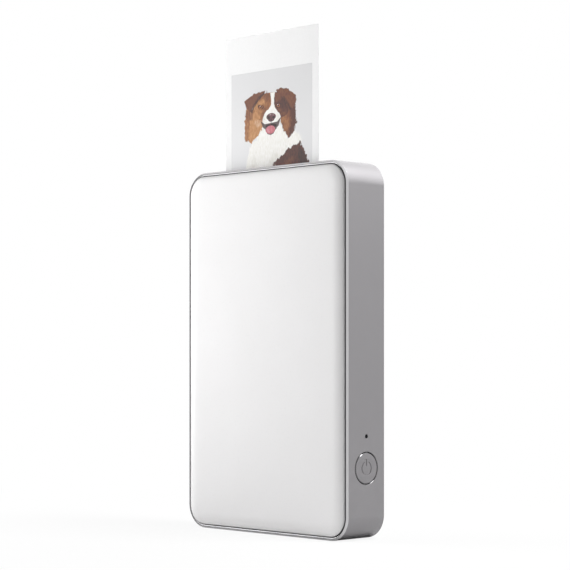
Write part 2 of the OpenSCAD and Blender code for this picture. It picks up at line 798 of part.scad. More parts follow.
module engine_cover() {
    color([0.3, 0.3, 0.32])
        difference() {
            span([left_plate_x, right_plate_x + plate_t], [engine_cover_y, engine_cover_y + engine_cover_t],
                [plate_z[0] + 26, plate_z[1]]);
            for (at = cover_screw_places)
                y_rod(screw_d, [engine_cover_y - 1, engine_cover_y + 1], at);
            // Stiffening slots between the screws
            for (x = [-16 : 8 : 16])
                translate([sheet_x + x, 0, 0])
                    along_y([engine_cover_y - 1, engine_cover_y + 1])
                        translate([0, head_at[1] + 6]) rotate(90) slot(7, 2);
        }
}

// Pan-head screws: heads face -Y for dir -1 and +Y for dir 1
module screws(places, y, length, dir, head_d, head_t) {
    color(steel)
        for (at = places)
            difference() {
                union() {
                    y_rod(head_d, dir < 0 ? [y - head_t, y] : [y, y + head_t], at);
                    y_rod(screw_d, dir < 0 ? [y - head_t / 2, y + length] : [y - length, y + head_t / 2], at);
                }
                translate([at[0], y + dir * head_t, at[1]])
                    rotate([90, 0, 0])
                        for (turn = [0, 90])
                            rotate(turn) cube([head_d * 0.6, 0.35, head_t], center = true);
            }
}

module engine_cover_screws() {
    screws(cover_screw_places, engine_cover_y, engine_cover_t + 0.8, -1, 2.6, 0.4);
}

module engine_screws() {
    screws(web_screw_places, back_in_y - 0.5, rear_t - 0.5 + web_t, 1, 2.8, 0.45);
}

module board_screws() {
    screws(post_places, board_y + board_t, board_t + 4.5, 1, 2.8, 0.8);
}

module bushings() {
    color(brass)
        for (at = [platen_at, pick_at], end = [0, 1]) {
            x = end == 0 ? left_plate_x : right_plate_x;
            flange = end == 0 ? [x - flange_t, x] : [x + plate_t, x + plate_t + flange_t];
            difference() {
                union() {
                    x_rod(bush_d, [x, x + plate_t], at);
                    x_rod(bush_d + 1, flange, at);
                }
                x_rod(shaft_d + 2 * run_gap, [x - 2, x + plate_t + 2], at);
            }
        }
}

module gear_studs() {
    color(steel)
        for (at = [upper_at, lower_at]) {
            x_rod(stud_d, [outer_gear_x - 0.6, left_plate_x + plate_t], at);
            x_rod(stud_d + 2, [inner_gear_x + gear_w + fit_gap, left_plate_x], at);
        }
}

module stud_clips() {
    color(brass)
        for (at = [upper_at, lower_at])
            difference() {
                x_rod(stud_d + 2, [outer_gear_x - 0.5, outer_gear_x - fit_gap], at);
                x_rod(stud_d, [outer_gear_x - 1, outer_gear_x], at);
            }
}

// Plate behind the paper path, between the tray and the platen
module paper_guide() {
    z = [floor_top_z + fit_gap, platen_at[1] - platen_d / 2 - 0.8];
    color(black) {
        span([left_plate_x + plate_t, right_plate_x], [floor_y, floor_y + 0.75], z);
        for (x = [-20 : 10 : 20])
            span([sheet_x + x - 0.4, sheet_x + x + 0.4], [floor_y + 0.7, floor_y + 0.84], [z[0] + 1, z[1] - 1]);
    }
}

// Extruded aluminium sink with cooling grooves and the pivot barrel along its lower edge
module head_heatsink() {
    color(silver)
        difference() {
            along_x(head_x) {
                difference() {
                    translate([sink_y, head_at[1] + 0.6]) square([sink_t, sink_h - 0.6]);
                    for (i = [0 : 3])
                        translate([sink_y - 0.1, head_at[1] + 4.2 + 3 * i]) square([0.6, 1.5]);
                }
                translate(head_at) circle(d = pivot_d + 1.4);
            }
            x_rod(pivot_d + 2 * run_gap, [head_x[0] - 1, head_x[1] + 1], head_at);
        }
}

module head_ceramic() {
    z = platen_at[1] - ceramic_h / 2;
    color([0.85, 0.83, 0.78]) {
        span([head_x[0] + 0.5, head_x[1] - 0.5], [sink_back_y, sink_back_y + ceramic_t], [z, z + ceramic_h]);
    }
}

module head_pin() {
    color(steel)
        x_rod(pivot_d, [left_plate_x, right_plate_x + plate_t], head_at);
}

// Leaf springs behind the engine cover that press the head on the platen
module head_springs() {
    back = engine_cover_y + engine_cover_t;
    z = platen_at[1];
    color(steel)
        for (x = [-11.5, 4.5])
            leaf([[back, z + 4.6], [back, z + 2.6], [sink_y - 0.52, z - 1], [sink_y - 0.52, z - 3], [back, z - 6]],
                0.2, [sheet_x + x, sheet_x + x + 7]);
}

// Flat cable from the head's end round the side plate to the main board
module head_cable() {
    t = 0.15;
    y = path_front_y - 1.6;
    out = column_mid;
    r = 2;
    color([0.85, 0.6, 0.25])
        translate([0, 0, cable_z[0]])
            linear_extrude(cable_z[1] - cable_z[0]) {
                translate([head_x[1] + 0.4, y]) square([out - r - head_x[1] - 0.4, t]);
                translate([out - r, y + r])
                    intersection() {
                        difference() {
                            circle(r);
                            circle(r - t);
                        }
                        translate([0, -r]) square(r);
                    }
                translate([out - t, y + r]) square([t, board_y - 1.2 - y - r]);
            }
}

module roller_shaft(at) {
    color(steel)
        x_rod(shaft_d, [inner_gear_x, right_plate_x + plate_t + flange_t + 0.7], at);
}

module tyre(d, x, at) {
    color(black)
        difference() {
            x_rod(d, x, at);
            x_rod(shaft_d, [x[0] - 1, x[1] + 1], at);
        }
}

module platen_roller() {
    tyre(platen_d, [sheet_x - sheet_w / 2 - 0.2, sheet_x + sheet_w / 2 + 0.2], platen_at);
}

module platen_shaft() {
    roller_shaft(platen_at);
}

module pick_roller() {
    for (side = [-1, 1])
        tyre(pick_d, [sheet_x + side * tyre_x - tyre_w / 2, sheet_x + side * tyre_x + tyre_w / 2], pick_at);
}

module pick_shaft() {
    roller_shaft(pick_at);
}

// A roller's gear with its hub, pressed on the shaft
module roller_gear(teeth, phase, at) {
    x = [inner_gear_x, inner_gear_x + gear_w];
    color(gear_white)
        difference() {
            union() {
                gear(teeth, phase, x, at);
                x_rod(shaft_d + 2, [x[1] - 0.1, left_plate_x - flange_t - fit_gap], at);
            }
            x_rod(shaft_d, [x[0] - 1, x[1] + 2], at);
            // Recess in the outer face that leaves a rim and a hub
            difference() {
                x_rod(gear_m * teeth - 3, [x[0] - 1, x[0] + 0.7], at);
                x_rod(shaft_d + 2.4, [x[0] - 2, x[1]], at);
            }
        }
}

module platen_gear() {
    roller_gear(platen_teeth, platen_phase, platen_at);
}

module pick_gear() {
    roller_gear(pick_teeth, pick_phase, pick_at);
}

// A two-step gear that turns on its stud, with holes through the large wheel
module idler(phase, at) {
    large = [outer_gear_x, outer_gear_x + gear_w];
    color(gear_white)
        difference() {
            union() {
                gear(idler_teeth, phase, large, at);
                gear(small_teeth, phase, [inner_gear_x, inner_gear_x + gear_w], at);
                x_rod(gear_m * (small_teeth - 3), [large[1] - 0.1, inner_gear_x + 0.1], at);
            }
            x_rod(stud_d + 2 * run_gap, [large[0] - 1, inner_gear_x + gear_w + 1], at);
            for (k = [0 : 4])
                x_rod(2, [large[0] - 1, large[1] + 1], at + polar(gear_m * idler_teeth * 0.34, phase + 72 * k));
        }
}

module upper_idler() {
    idler(upper_phase, upper_at);
}

module lower_idler() {
    idler(lower_phase, lower_at);
}

module motor() {
    x = left_plate_x + plate_t;
    color(steel)
        difference() {
            union() {
                intersection() {
                    x_rod(motor_d, [x, x + motor_len], motor_at);
                    span([x - 1, x + motor_len + 1], [motor_at[0] - motor_flat / 2, motor_at[0] + motor_flat / 2],
                        [motor_at[1] - motor_d, motor_at[1] + motor_d]);
                }
                x_rod(4, [left_plate_x, x + 1], motor_at);
                x_rod(5, [x + motor_len - 0.5, x + motor_len + 0.8], motor_at);
            }
            x_rod(motor_shaft_d + 2 * run_gap, [x - 2, x + 4], motor_at);
        }
}

module motor_shaft() {
    color(steel)
        x_rod(motor_shaft_d, [outer_gear_x - 0.2, left_plate_x + plate_t + 3], motor_at);
}

module motor_pinion() {
    color(brass)
        difference() {
            gear(pinion_teeth, 0, [outer_gear_x, outer_gear_x + gear_w], motor_at);
            x_rod(motor_shaft_d, [outer_gear_x - 1, outer_gear_x + gear_w + 1], motor_at);
        }
}

module motor_leads() {
    color([0.6, 0.1, 0.1])
        for (z = [-0.6, 0.6])
            x_rod(0.9, [left_plate_x + plate_t + motor_len, column_mid - 2], leads_at + [0, z]);
}

// Cap that fills the round hole, with a flange behind the side band's wall and a stem for the switch
module power_button() {
    color(silver)
        translate([0, 0, button_z]) rotate([0, 90, 0]) {
            translate([0, 0, body_w / 2 - cap_t])
                cylinder(d = button_d, h = cap_t - button_edge);
            translate([0, 0, body_w / 2 - button_edge])
                cylinder(d1 = button_d, d2 = button_d - 2 * button_edge, h = button_edge);
            translate([0, 0, inner_x - fit_gap / 2 - 0.55])
                cylinder(d = button_d + 1.4, h = 0.55);
            translate([0, 0, switch_x + button_travel + 0.05])
                cylinder(d = 3, h = body_w / 2 - cap_t - switch_x - button_travel);
        }
}

module light_pipe() {
    color(white)
        translate([0, 0, button_z + light_rise]) rotate([0, 90, 0]) {
            translate([0, 0, side_board_x + board_t + 0.8])
                cylinder(d = light_d, h = body_w / 2 - side_board_x - board_t - 0.8);
            translate([0, 0, inner_x - fit_gap - 1.2])
                cylinder(d = light_d + 1.2, h = 1.2);
        }
}

module side_board() {
    color(board_green)
        span([side_board_x, side_board_x + board_t], [-4.4, 3.8], side_board_z);
}

module button_switch() {
    x = side_board_x + board_t;
    color(steel)
        translate([x, 0, button_z]) {
            translate([0, -2.2, -2.2]) cube([switch_t, 4.4, 4.4]);
            rotate([0, 90, 0]) cylinder(d = 2, h = switch_t + plunger_t);
        }
}

module status_led() {
    x = side_board_x + board_t;
    color([0.9, 0.9, 0.8])
        span([x, x + 0.6], [-0.5, 0.5], [button_z + light_rise - 0.9, button_z + light_rise + 0.9]);
}

module battery() {
    y = floor_y + floor_t + fit_gap;
    color([0.75, 0.76, 0.78]) {
        along_x([-battery_w / 2, battery_w / 2])
            translate([y, battery_z]) {
                translate([0, 0.8]) square([battery_t, battery_h - 0.8]);
                translate([0.8, 0]) square([battery_t - 1.6, 1]);
            }
    }
}

// Two leads from the battery's side to pads on the main board
module battery_lead() {
    r = 1.6;
    y = floor_y + floor_t + battery_t - 1.2;
    color([0.6, 0.1, 0.1])
        for (z = [0, 1.6])
            translate([battery_w / 2, y, battery_z + 38 + z]) {
                rotate([0, 90, 0]) cylinder(d = 1, h = 2);
                translate([2, r, 0]) rotate([0, 0, -90])
                    rotate_extrude(angle = 90) translate([r, 0]) circle(d = 1);
                translate([2 + r, r, 0]) rotate([-90, 0, 0]) cylinder(d = 1, h = board_y - y - r);
            }
}

module main_board() {
    color(board_green)
        difference() {
            union() {
                span([-board_x, board_x], [board_y, board_y + board_t], [board_z + 6, board_top_z]);
                span([-board_x + 17, board_x - 17], [board_y, board_y + board_t], [board_z, board_z + 7]);
                span([column_x, board_x], [board_y, board_y + board_t], [board_top_z - 1, column_top_z]);
            }
            for (at = post_places)
                y_rod(screw_d + 0.3, [board_y - 1, board_y + board_t + 1], at);
        }
}

// Chips on the rear of the main board, each as [x, z, width, height, thickness]
module board_chips() {
    back = board_y + board_t;
    left = -board_x;
    foot = board_z;
    color(black)
        for (chip = [
            [left + 25.5, foot + 36.8, 10, 10, 1], [left + 25.5, foot + 52.8, 8, 8, 0.9],
            [left + 11.5, foot + 42.8, 6, 5, 0.9], [left + 13.5, foot + 28.8, 5, 5, 1.2],
            [left + 47.5, foot + 22.8, 7, 6, 0.9], [board_x - 13.5, board_top_z - 13, 5, 4, 0.9],
            [column_mid, leads_at[1] - 7.5, 6, 6, 0.9]
        ])
            span([chip[0] - chip[2] / 2, chip[0] + chip[2] / 2], [back, back + chip[4]],
                [chip[1] - chip[3] / 2, chip[1] + chip[3] / 2]);
}

module shield_can() {
    back = board_y + board_t;
    x = [board_x - 33.5, board_x - 17.5];
    z = [board_z + 36.8, board_z + 50.8];
    wall = 0.2;
    color(steel)
        difference() {
            span(x, [back, back + 1.5], z);
            span([x[0] + wall, x[1] - wall], [back - 1, back + 1.5 - wall], [z[0] + wall, z[1] - wall]);
        }
}

// Sockets of the motor leads and of the head's flat cable, on the front of the main board
module board_connectors() {
    color(gear_white) {
        span([column_mid - 2, column_mid + 2], [leads_at[0] - 1.2, board_y],
            [leads_at[1] - 2.4, leads_at[1] + 2.4]);
        span([column_mid - 1.4, column_mid + 1.4], [board_y - 1.2, board_y], [cable_z[0] - 0.8, cable_z[1] - 0.4]);
    }
}

module usb_socket() {
    color(steel)
        translate([0, port_y, band_wall - 0.7]) {
            difference() {
                linear_extrude(usb_len) slot(usb_w, usb_h);
                translate([0, 0, -1])
                    linear_extrude(usb_len) slot(usb_w - 0.6, usb_h - 0.6);
            }
            translate([-3.35, -0.35, 0.9]) cube([6.7, 0.7, usb_len - 1.2]);
        }
}

module reset_switch() {
    color(black) {
        span([reset_x - 1.75, reset_x + 1.75], [reset_y - 0.85, board_y], [board_z, board_z + 3]);
        translate([reset_x, reset_y, board_z - 0.7]) cylinder(d = 1.2, h = 0.8);
    }
}

side_band();
front_cover();
cover_liner();
back_cover();
hinge_pins();
cover_magnets();
frame_magnets();
press_plate();
chassis();
paper_stack();
separation_pad();
print_sheet();
exit_guide();
engine_frame();
engine_cover();
engine_cover_screws();
engine_screws();
bushings();
gear_studs();
stud_clips();
paper_guide();
head_heatsink();
head_ceramic();
head_pin();
head_springs();
head_cable();
platen_roller();
platen_shaft();
platen_gear();
pick_roller();
pick_shaft();
pick_gear();
upper_idler();
lower_idler();
motor();
motor_shaft();
motor_pinion();
motor_leads();
power_button();
light_pipe();
side_board();
button_switch();
status_led();
battery();
battery_lead();
main_board();
board_chips();
shield_can();
board_connectors();
usb_socket();
reset_switch();
board_screws();
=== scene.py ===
"""Pocket photo printer: its finishes, covers, button and print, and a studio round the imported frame."""

import logging
import math
from dataclasses import dataclass, field
from enum import Enum
from typing import Iterable, Sequence, Union

import bmesh
import bpy
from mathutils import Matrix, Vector


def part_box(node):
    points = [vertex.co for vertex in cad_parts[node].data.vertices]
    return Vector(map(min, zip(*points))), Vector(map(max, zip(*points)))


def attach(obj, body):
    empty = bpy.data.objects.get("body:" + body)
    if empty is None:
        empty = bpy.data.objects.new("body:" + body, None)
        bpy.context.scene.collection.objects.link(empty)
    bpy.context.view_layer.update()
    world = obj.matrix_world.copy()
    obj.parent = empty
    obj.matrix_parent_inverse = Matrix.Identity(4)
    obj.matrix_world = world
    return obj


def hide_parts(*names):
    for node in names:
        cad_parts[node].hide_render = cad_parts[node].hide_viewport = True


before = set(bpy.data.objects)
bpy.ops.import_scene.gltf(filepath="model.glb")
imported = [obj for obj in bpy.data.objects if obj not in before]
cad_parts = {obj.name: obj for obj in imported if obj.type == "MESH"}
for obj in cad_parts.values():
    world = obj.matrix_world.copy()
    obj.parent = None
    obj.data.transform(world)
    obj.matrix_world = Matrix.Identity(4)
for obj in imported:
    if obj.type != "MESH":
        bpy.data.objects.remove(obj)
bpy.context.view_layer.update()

MM = 0.001

log = logging.getLogger("printer")

Colour = tuple[float, float, float]
Number = Union[float, "Signal"]
Point2 = tuple[float, float]
Point3 = tuple[float, float, float]


def tint(colour: Colour, factor: float) -> Colour:
    """Make a colour lighter or darker.

    Args:
        colour: the colour, linear.
        factor: what each channel is multiplied by.

    Returns:
        The new colour, no channel over 1.
    """
    return tuple(min(1.0, channel * factor) for channel in colour)


def screen(red: float, green: float, blue: float) -> Colour:
    """Turn a colour as a screen shows it into linear light.

    Args:
        red: red, 0 to 255.
        green: green, 0 to 255.
        blue: blue, 0 to 255.

    Returns:
        The linear colour.
    """
    return tuple(((c / 255 + 0.055) / 1.055) ** 2.4 if c > 10 else c / 3295 for c in (red, green, blue))


# ---- Node graphs ---------------------------------------------------------------------------------


@dataclass(frozen=True)
class Signal:
    """An output socket whose arithmetic adds Math nodes."""

    graph: "NodeGraph"
    socket: bpy.types.NodeSocket

    def _math(self, operation: str, *values: Number) -> "Signal":
        """Add a Math node with the operation on the values."""
        return self.graph.add("ShaderNodeMath", {"operation": operation}, dict(enumerate(values)))

    def __add__(self, other: Number) -> "Signal":
        """Sum."""
        return self._math("ADD", self, other)

    def __radd__(self, other: Number) -> "Signal":
        """Sum with a number on the left."""
        return self._math("ADD", other, self)

    def __sub__(self, other: Number) -> "Signal":
        """Difference."""
        return self._math("SUBTRACT", self, other)

    def __rsub__(self, other: Number) -> "Signal":
        """Difference from a number on the left."""
        return self._math("SUBTRACT", other, self)

    def __mul__(self, other: Number) -> "Signal":
        """Product."""
        return self._math("MULTIPLY", self, other)

    def __rmul__(self, other: Number) -> "Signal":
        """Product with a number on the left."""
        return self._math("MULTIPLY", other, self)

    def __truediv__(self, other: Number) -> "Signal":
        """Quotient."""
        return self._math("DIVIDE", self, other)

    def __abs__(self) -> "Signal":
        """Size without sign."""
        return self._math("ABSOLUTE", self)

    def root(self) -> "Signal":
        """Square root."""
        return self._math("SQRT", self)

    def least(self, other: Number) -> "Signal":
        """The lesser of the two."""
        return self._math("MINIMUM", self, other)

    def most(self, other: Number) -> "Signal":
        """The greater of the two."""
        return self._math("MAXIMUM", self, other)

    def step(self, low: float, high: float) -> "Signal":
        """Smooth step.

        Args:
            low: value where the result is 0.
            high: value where the result is 1; below low, the step falls.

        Returns:
            The step, 0 to 1.
        """
        falls = low > high
        ends = {"From Min": min(low, high), "From Max": max(low, high)}
        reach = {"To Min": float(falls), "To Max": float(not falls)}
        settings = {"interpolation_type": "SMOOTHSTEP"}
        return self.graph.add("ShaderNodeMapRange", settings, {"Value": self, **ends, **reach})


class NodeGraph:
    """A node tree that is filled through one method."""

    def __init__(self, tree: bpy.types.NodeTree) -> None:
        """Take an empty tree.

        Args:
            tree: the node tree.
        """
        self.tree = tree

    def add(
        self,
        kind: str,
        settings: dict[str, object] | None = None,
        inputs: dict[str | int, object] | None = None,
        output: str | int = 0,
    ) -> Signal:
        """Add one node.

        Args:
            kind: the node's type.
            settings: its properties, set first.
            inputs: values or links, by the socket's name or number.
            output: the socket that is returned.

        Returns:
            The chosen output socket.
        """
        node = self.tree.nodes.new(kind)
        for key, value in (settings or {}).items():
            setattr(node, key, value)
        for key, value in (inputs or {}).items():
            socket = node.inputs[key]
            if isinstance(value, Signal):
                self.tree.links.new(value.socket, socket)
            elif socket.type == "RGBA":
                socket.default_value = (*value, 1.0)
            else:
                socket.default_value = value
        return Signal(self, node.outputs[output] if len(node.outputs) else None)


class Finish(NodeGraph):
    """A material's graph, with the helpers that finishes share."""

    def __init__(self, name: str) -> None:
        """Make an empty material.

        Args:
            name: the material's name.
        """
        self.material = bpy.data.materials.new(name)
        self.material.use_nodes = True
        self.material.node_tree.nodes.clear()
        super().__init__(self.material.node_tree)
        self.here = self.add("ShaderNodeTexCoord", None, None, "Object")

    def stretched(self, scale: Point3) -> Signal:
        """The place on the piece in metres, stretched along the axes.

        Args:
            scale: factor on each axis.

        Returns:
            The coordinate.
        """
        return self.add("ShaderNodeMapping", None, {"Vector": self.here, "Scale": scale})

    def axes(self, vector: Signal | None = None) -> tuple[Signal, Signal, Signal]:
        """Split a vector.

        Args:
            vector: the vector; the place on the piece if left out.

        Returns:
            Its three parts.
        """
        first = self.add("ShaderNodeSeparateXYZ", None, {"Vector": vector or self.here})
        outputs = first.socket.node.outputs
        return first, Signal(self, outputs[1]), Signal(self, outputs[2])

    def noise(
        self, scale: float, detail: float = 2.0, at: Signal | None = None, rough: float = 0.5
    ) -> Signal:
        """Fractal noise.

        Args:
            scale: cells in a metre.
            detail: octaves.
            at: the coordinate; the place on the piece if left out.
            rough: strength of the finer octaves.

        Returns:
            Values from 0 to 1, mostly near 0.5.
        """
        sockets = {"Vector": at or self.here, "Scale": scale, "Detail": detail, "Roughness": rough}
        return self.add("ShaderNodeTexNoise", None, sockets)

    def cells(self, scale: float, at: Signal | None = None, output: str = "Distance") -> Signal:
        """Voronoi cells.

        Args:
            scale: cells in a metre.
            at: the coordinate; the place on the piece if left out.
            output: Distance or Color.

        Returns:
            The chosen output.
        """
        return self.add("ShaderNodeTexVoronoi", None, {"Vector": at or self.here, "Scale": scale}, output)

    def mix(self, share: Number, low: object, high: object) -> Signal:
        """Blend two colours.

        Args:
            share: how much of high there is, 0 to 1.
            low: the colour at 0.
            high: the colour at 1.

        Returns:
            The blended colour.
        """
        return self.add("ShaderNodeMix", {"data_type": "RGBA"}, {0: share, 6: low, 7: high}, 2)

    def bump(self, height: Signal, depth: float) -> Signal:
        """A normal from a relief.

        Args:
            height: the relief, 0 to 1.
            depth: its full height in metres.

        Returns:
            The normal.
        """
        sockets = {"Height": height, "Distance": depth, "Strength": 1.0}
        return self.add("ShaderNodeBump", None, sockets, "Normal")

    def surface(self, **sockets: object) -> bpy.types.Material:
        """End the graph with one Principled surface.

        Args:
            sockets: its values and links, with underscores for the spaces in their names.

        Returns:
            The material.
        """
        named = {key.replace("_", " "): value for key, value in sockets.items()}
        shader = self.add("ShaderNodeBsdfPrincipled", None, named)
        self.add("ShaderNodeOutputMaterial", None, {"Surface": shader})
        return self.material


# ---- Finishes ------------------------------------------------------------------------------------
#
# A finish's grain, lines, stains and the like are noise cells in a metre. Depth is a relief's
# full height in metres.


@dataclass(frozen=True)
class Moulded:
    """Moulded plastic: spark-eroded grain, faint flow clouds and uneven shine.

    Where a seam depth is given, the colour turns dark from that distance from the middle plane
    inwards, down in the seam: painted shade standing in for the seam's shadow.
    """

    name: str
    colour: Colour
    roughness: float = 0.45
    cloud: float = 0.03
    grain: float = 2600.0
    depth: float = 6e-6
    coat: float = 0.0
    seam_shade_y: float = 0.0
    seam_shade_colour: Colour = (0.1, 0.1, 0.102)
    seam_shade_fade: float = 0.03 * MM
    pit_coarseness: float = 0.35
    clouds: float = 45.0
    shine_drift: float = 130.0
    coat_roughness: float = 0.12

    def make(self) -> bpy.types.Material:
        """Build the material.

        Returns:
            The material.
        """
        g = Finish(self.name)
        grain = g.noise(self.grain)
        pits = g.noise(self.grain * self.pit_coarseness).step(0.55, 0.75)
        clouds = g.noise(self.clouds, 4.0).step(0.3, 0.7)
        colour = g.mix(clouds, tint(self.colour, 1 - self.cloud), tint(self.colour, 1 + self.cloud))
        colour = g.mix(pits * 0.25, colour, tint(self.colour, 0.9))
        if self.seam_shade_y:
            # Painted shade: near the middle plane, down in the seam, the colour turns dark in place of the
            # seam's shadow.
            inside = (self.seam_shade_y - abs(g.axes()[1])).step(-self.seam_shade_fade, self.seam_shade_fade)
            colour = g.mix(inside, colour, self.seam_shade_colour)
        rough = self.roughness + (g.noise(self.shine_drift) - 0.5) * 0.1 + pits * 0.06
        normal = g.bump(grain + pits * 0.5, self.depth)
        return g.surface(
            Base_Color=colour,
            Roughness=rough,
            Normal=normal,
            Coat_Weight=self.coat,
            Coat_Roughness=self.coat_roughness,
        )


@dataclass(frozen=True)
class Blasted:
    """Bead-blasted, anodised aluminium whose edges are cut afterwards.

    The rim has a satin chamfer from rim_y to flat_y and a lip beyond that, painted dark as painted
    shade for the seam's shadow. A polished ring lies round the button, painted dark as painted shade
    for its groove, with the lamps' highlights on it. A piece that ends short of rim_y has no chamfer
    and no lip.
    """

    name: str
    colour: Colour
    ring_r: tuple[float, float]
    roughness: float = 0.42
    rim_y: float = 1.0
    flat_y: float = 2.0
    ring_z: float = 25.9 * MM
    cut_colour: Colour = (0.56, 0.555, 0.565)
    # The ring's and the lip's dark colours are painted shade, for the shadow in the button's groove and in
    # the seam.
    ring_shade_colour: Colour = (0.15, 0.147, 0.152)
    ring_roughness: float = 0.14
    lip_shade_colour: Colour = (0.13, 0.128, 0.132)
    cut_roughness: float = 0.5
    cut_fade: float = 0.01 * MM
    grain: float = 5200.0
    pebbles: float = 2100.0
    drift: float = 26.0
    depth: float = 7e-6
    metallic: float = 0.92

    def cut(self, g: Finish) -> tuple[Signal, Signal, Signal]:
        """Where the cut edges lie.

        Args:
            g: the graph.

        Returns:
            1 on the rim's chamfer, 1 on its lip and 1 on the ring round the button.
        """
        x, y, z = g.axes()
        up = z - self.ring_z
        reach = (y * y + up * up).root()
        ring = (reach - self.ring_r[0]).least(self.ring_r[1] - reach).least(x)
        out = abs(y)
        rim = (out - self.rim_y).least(self.flat_y - out)
        return tuple(inside.step(-self.cut_fade, self.cut_fade) for inside in (rim, out - self.flat_y, ring))

    def make(self) -> bpy.types.Material:
        """Build the material.

        Returns:
            The material.
        """
        g = Finish(self.name)
        grain = g.noise(self.grain)
        coarse = g.noise(self.pebbles)
        drift = g.noise(self.drift, 3.0).step(0.35, 0.65)
        rim, lip, ring = self.cut(g)
        cut = rim.most(ring)
        colour = g.mix(grain.step(0.3, 0.7), tint(self.colour, 0.95), tint(self.colour, 1.05))
        colour = g.mix(drift * 0.5, colour, tint(self.colour, 0.96))
        colour = g.mix(rim, colour, g.mix(coarse, tint(self.cut_colour, 0.97), self.cut_colour))
        # Painted shade: the ring and the lip are coloured dark in place of the shadow in the groove and the
        # seam.
        colour = g.mix(ring, colour, self.ring_shade_colour)
        colour = g.mix(lip, colour, self.lip_shade_colour)
        satin = self.roughness + (grain - 0.5) * 0.14 + drift * 0.04
        polish = (self.ring_roughness - self.cut_roughness) * ring
        shine = self.cut_roughness + polish + (coarse - 0.5) * 0.05
        rough = satin + (shine - satin) * cut
        normal = g.bump(((grain - 0.5) + (coarse - 0.5) * 0.6) * (1 - cut * 0.9), self.depth)
        return g.surface(Base_Color=colour, Roughness=rough, Metallic=self.metallic, Normal=normal)


class Grain(Enum):
    """Which way the lines of a worked metal run."""

    ALONG_X = (0.04, 1.0, 1.0)
    ALONG_Z = (1.0, 1.0, 0.04)
    NO_WAY = (1.0, 1.0, 1.0)


@dataclass(frozen=True)
class Metal:
    """Drawn, rolled or turned metal: fine lines and faint stains."""

    name: str
    colour: Colour
    roughness: float = 0.3
    grain: Grain = Grain.ALONG_X
    fineness: float = 3600.0
    stain: float = 0.14
    stains: float = 170.0
    depth: float = 5e-6

    def make(self) -> bpy.types.Material:
        """Build the material.

        Returns:
            The material.
        """
        g = Finish(self.name)
        lines = g.noise(self.fineness, 2.0, g.stretched(self.grain.value))
        stains = g.noise(self.stains, 4.0, rough=0.6)
        colour = g.mix(stains.step(0.42, 0.72), self.colour, tint(self.colour, 1 - self.stain))
        colour = g.mix(lines.step(0.35, 0.65) * 0.35, colour, tint(self.colour, 1.1))
        rough = self.roughness + (lines - 0.5) * 0.16 + stains.step(0.45, 0.7) * 0.1
        return g.surface(Base_Color=colour, Roughness=rough, Metallic=1.0, Normal=g.bump(lines, self.depth))


@dataclass(frozen=True)
class Galvanised:
    """Zinc-coated sheet: angular spangles of unlike shine under faint roll lines."""

    name: str
    colour: Colour
    spangles: float = 430.0
    lines: float = 3000.0
    depth: float = 4e-6

    def make(self) -> bpy.types.Material:
        """Build the material.

        Returns:
            The material.
        """
        g = Finish(self.name)
        spangle = g.axes(g.cells(self.spangles, output="Color"))[0]
        lines = g.noise(self.lines, 2.0, g.stretched(Grain.ALONG_Z.value))
        colour = g.mix(spangle, tint(self.colour, 0.84), tint(self.colour, 1.04))
        rough = 0.28 + spangle * 0.18 + (lines - 0.5) * 0.1
        return g.surface(Base_Color=colour, Roughness=rough, Metallic=1.0, Normal=g.bump(lines, self.depth))


@dataclass(frozen=True)
class Rubber:
    """Ground rubber: matt, with fine rings and paper dust in the pores."""

    name: str
    colour: Colour
    dust: float = 0.3
    dust_colour: Colour = (0.4, 0.39, 0.38)
    rings: float = 2300.0
    pores: float = 1700.0
    depth: float = 1.5e-5

    def make(self) -> bpy.types.Material:
        """Build the material.

        Returns:
            The material.
        """
        g = Finish(self.name)
        rings = g.noise(self.rings, 2.0, g.stretched((1.0, 0.15, 0.15)))
        pores = g.noise(self.pores, 3.0)
        dust = pores.step(0.56, 0.7) * self.dust
        colour = g.mix(dust, self.colour, self.dust_colour)
        rough = 0.72 + (pores - 0.5) * 0.2
        return g.surface(Base_Color=colour, Roughness=rough, Normal=g.bump(rings + pores, self.depth))


@dataclass(frozen=True)
class Circuit:
    """Solder mask over copper tracks, with tinned pads and vias."""

    name: str
    mask: Colour = (0.012, 0.085, 0.045)
    track: Colour = (0.03, 0.17, 0.085)
    pad: Colour = (0.62, 0.6, 0.55)
    track_l: float = 11.0 * MM
    track_pitch: float = 1.1 * MM
    gap: float = 0.17 * MM
    vias: float = 260.0
    dust: float = 1500.0
    depth: float = 2.5e-5

    def make(self) -> bpy.types.Material:
        """Build the material.

        Returns:
            The material.
        """
        g = Finish(self.name)
        across, deep, up = g.axes()
        flat = g.add("ShaderNodeCombineXYZ", None, {"X": across + deep, "Y": up})
        sizes = {"Brick Width": self.track_l, "Row Height": self.track_pitch, "Mortar Size": self.gap}
        bricks = {"Vector": flat, "Scale": 1.0, **sizes}
        tracks = g.add("ShaderNodeTexBrick", {"offset": 0.37, "squash": 0.6}, bricks, "Fac")
        vias = g.cells(self.vias, flat).step(0.17, 0.12)
        speck = g.noise(self.dust)
        colour = g.mix(tracks * 0.8, self.mask, self.track)
        colour = g.mix(speck.step(0.5, 0.8) * 0.2, colour, tint(self.mask, 1.6))
        colour = g.mix(vias, colour, self.pad)
        rough = 0.3 + (speck - 0.5) * 0.1 + vias * 0.08
        relief = g.bump(tracks * 0.7 + vias * 0.4 + speck * 0.1, self.depth)
        return g.surface(Base_Color=colour, Roughness=rough, Metallic=vias * 0.9, Normal=relief)


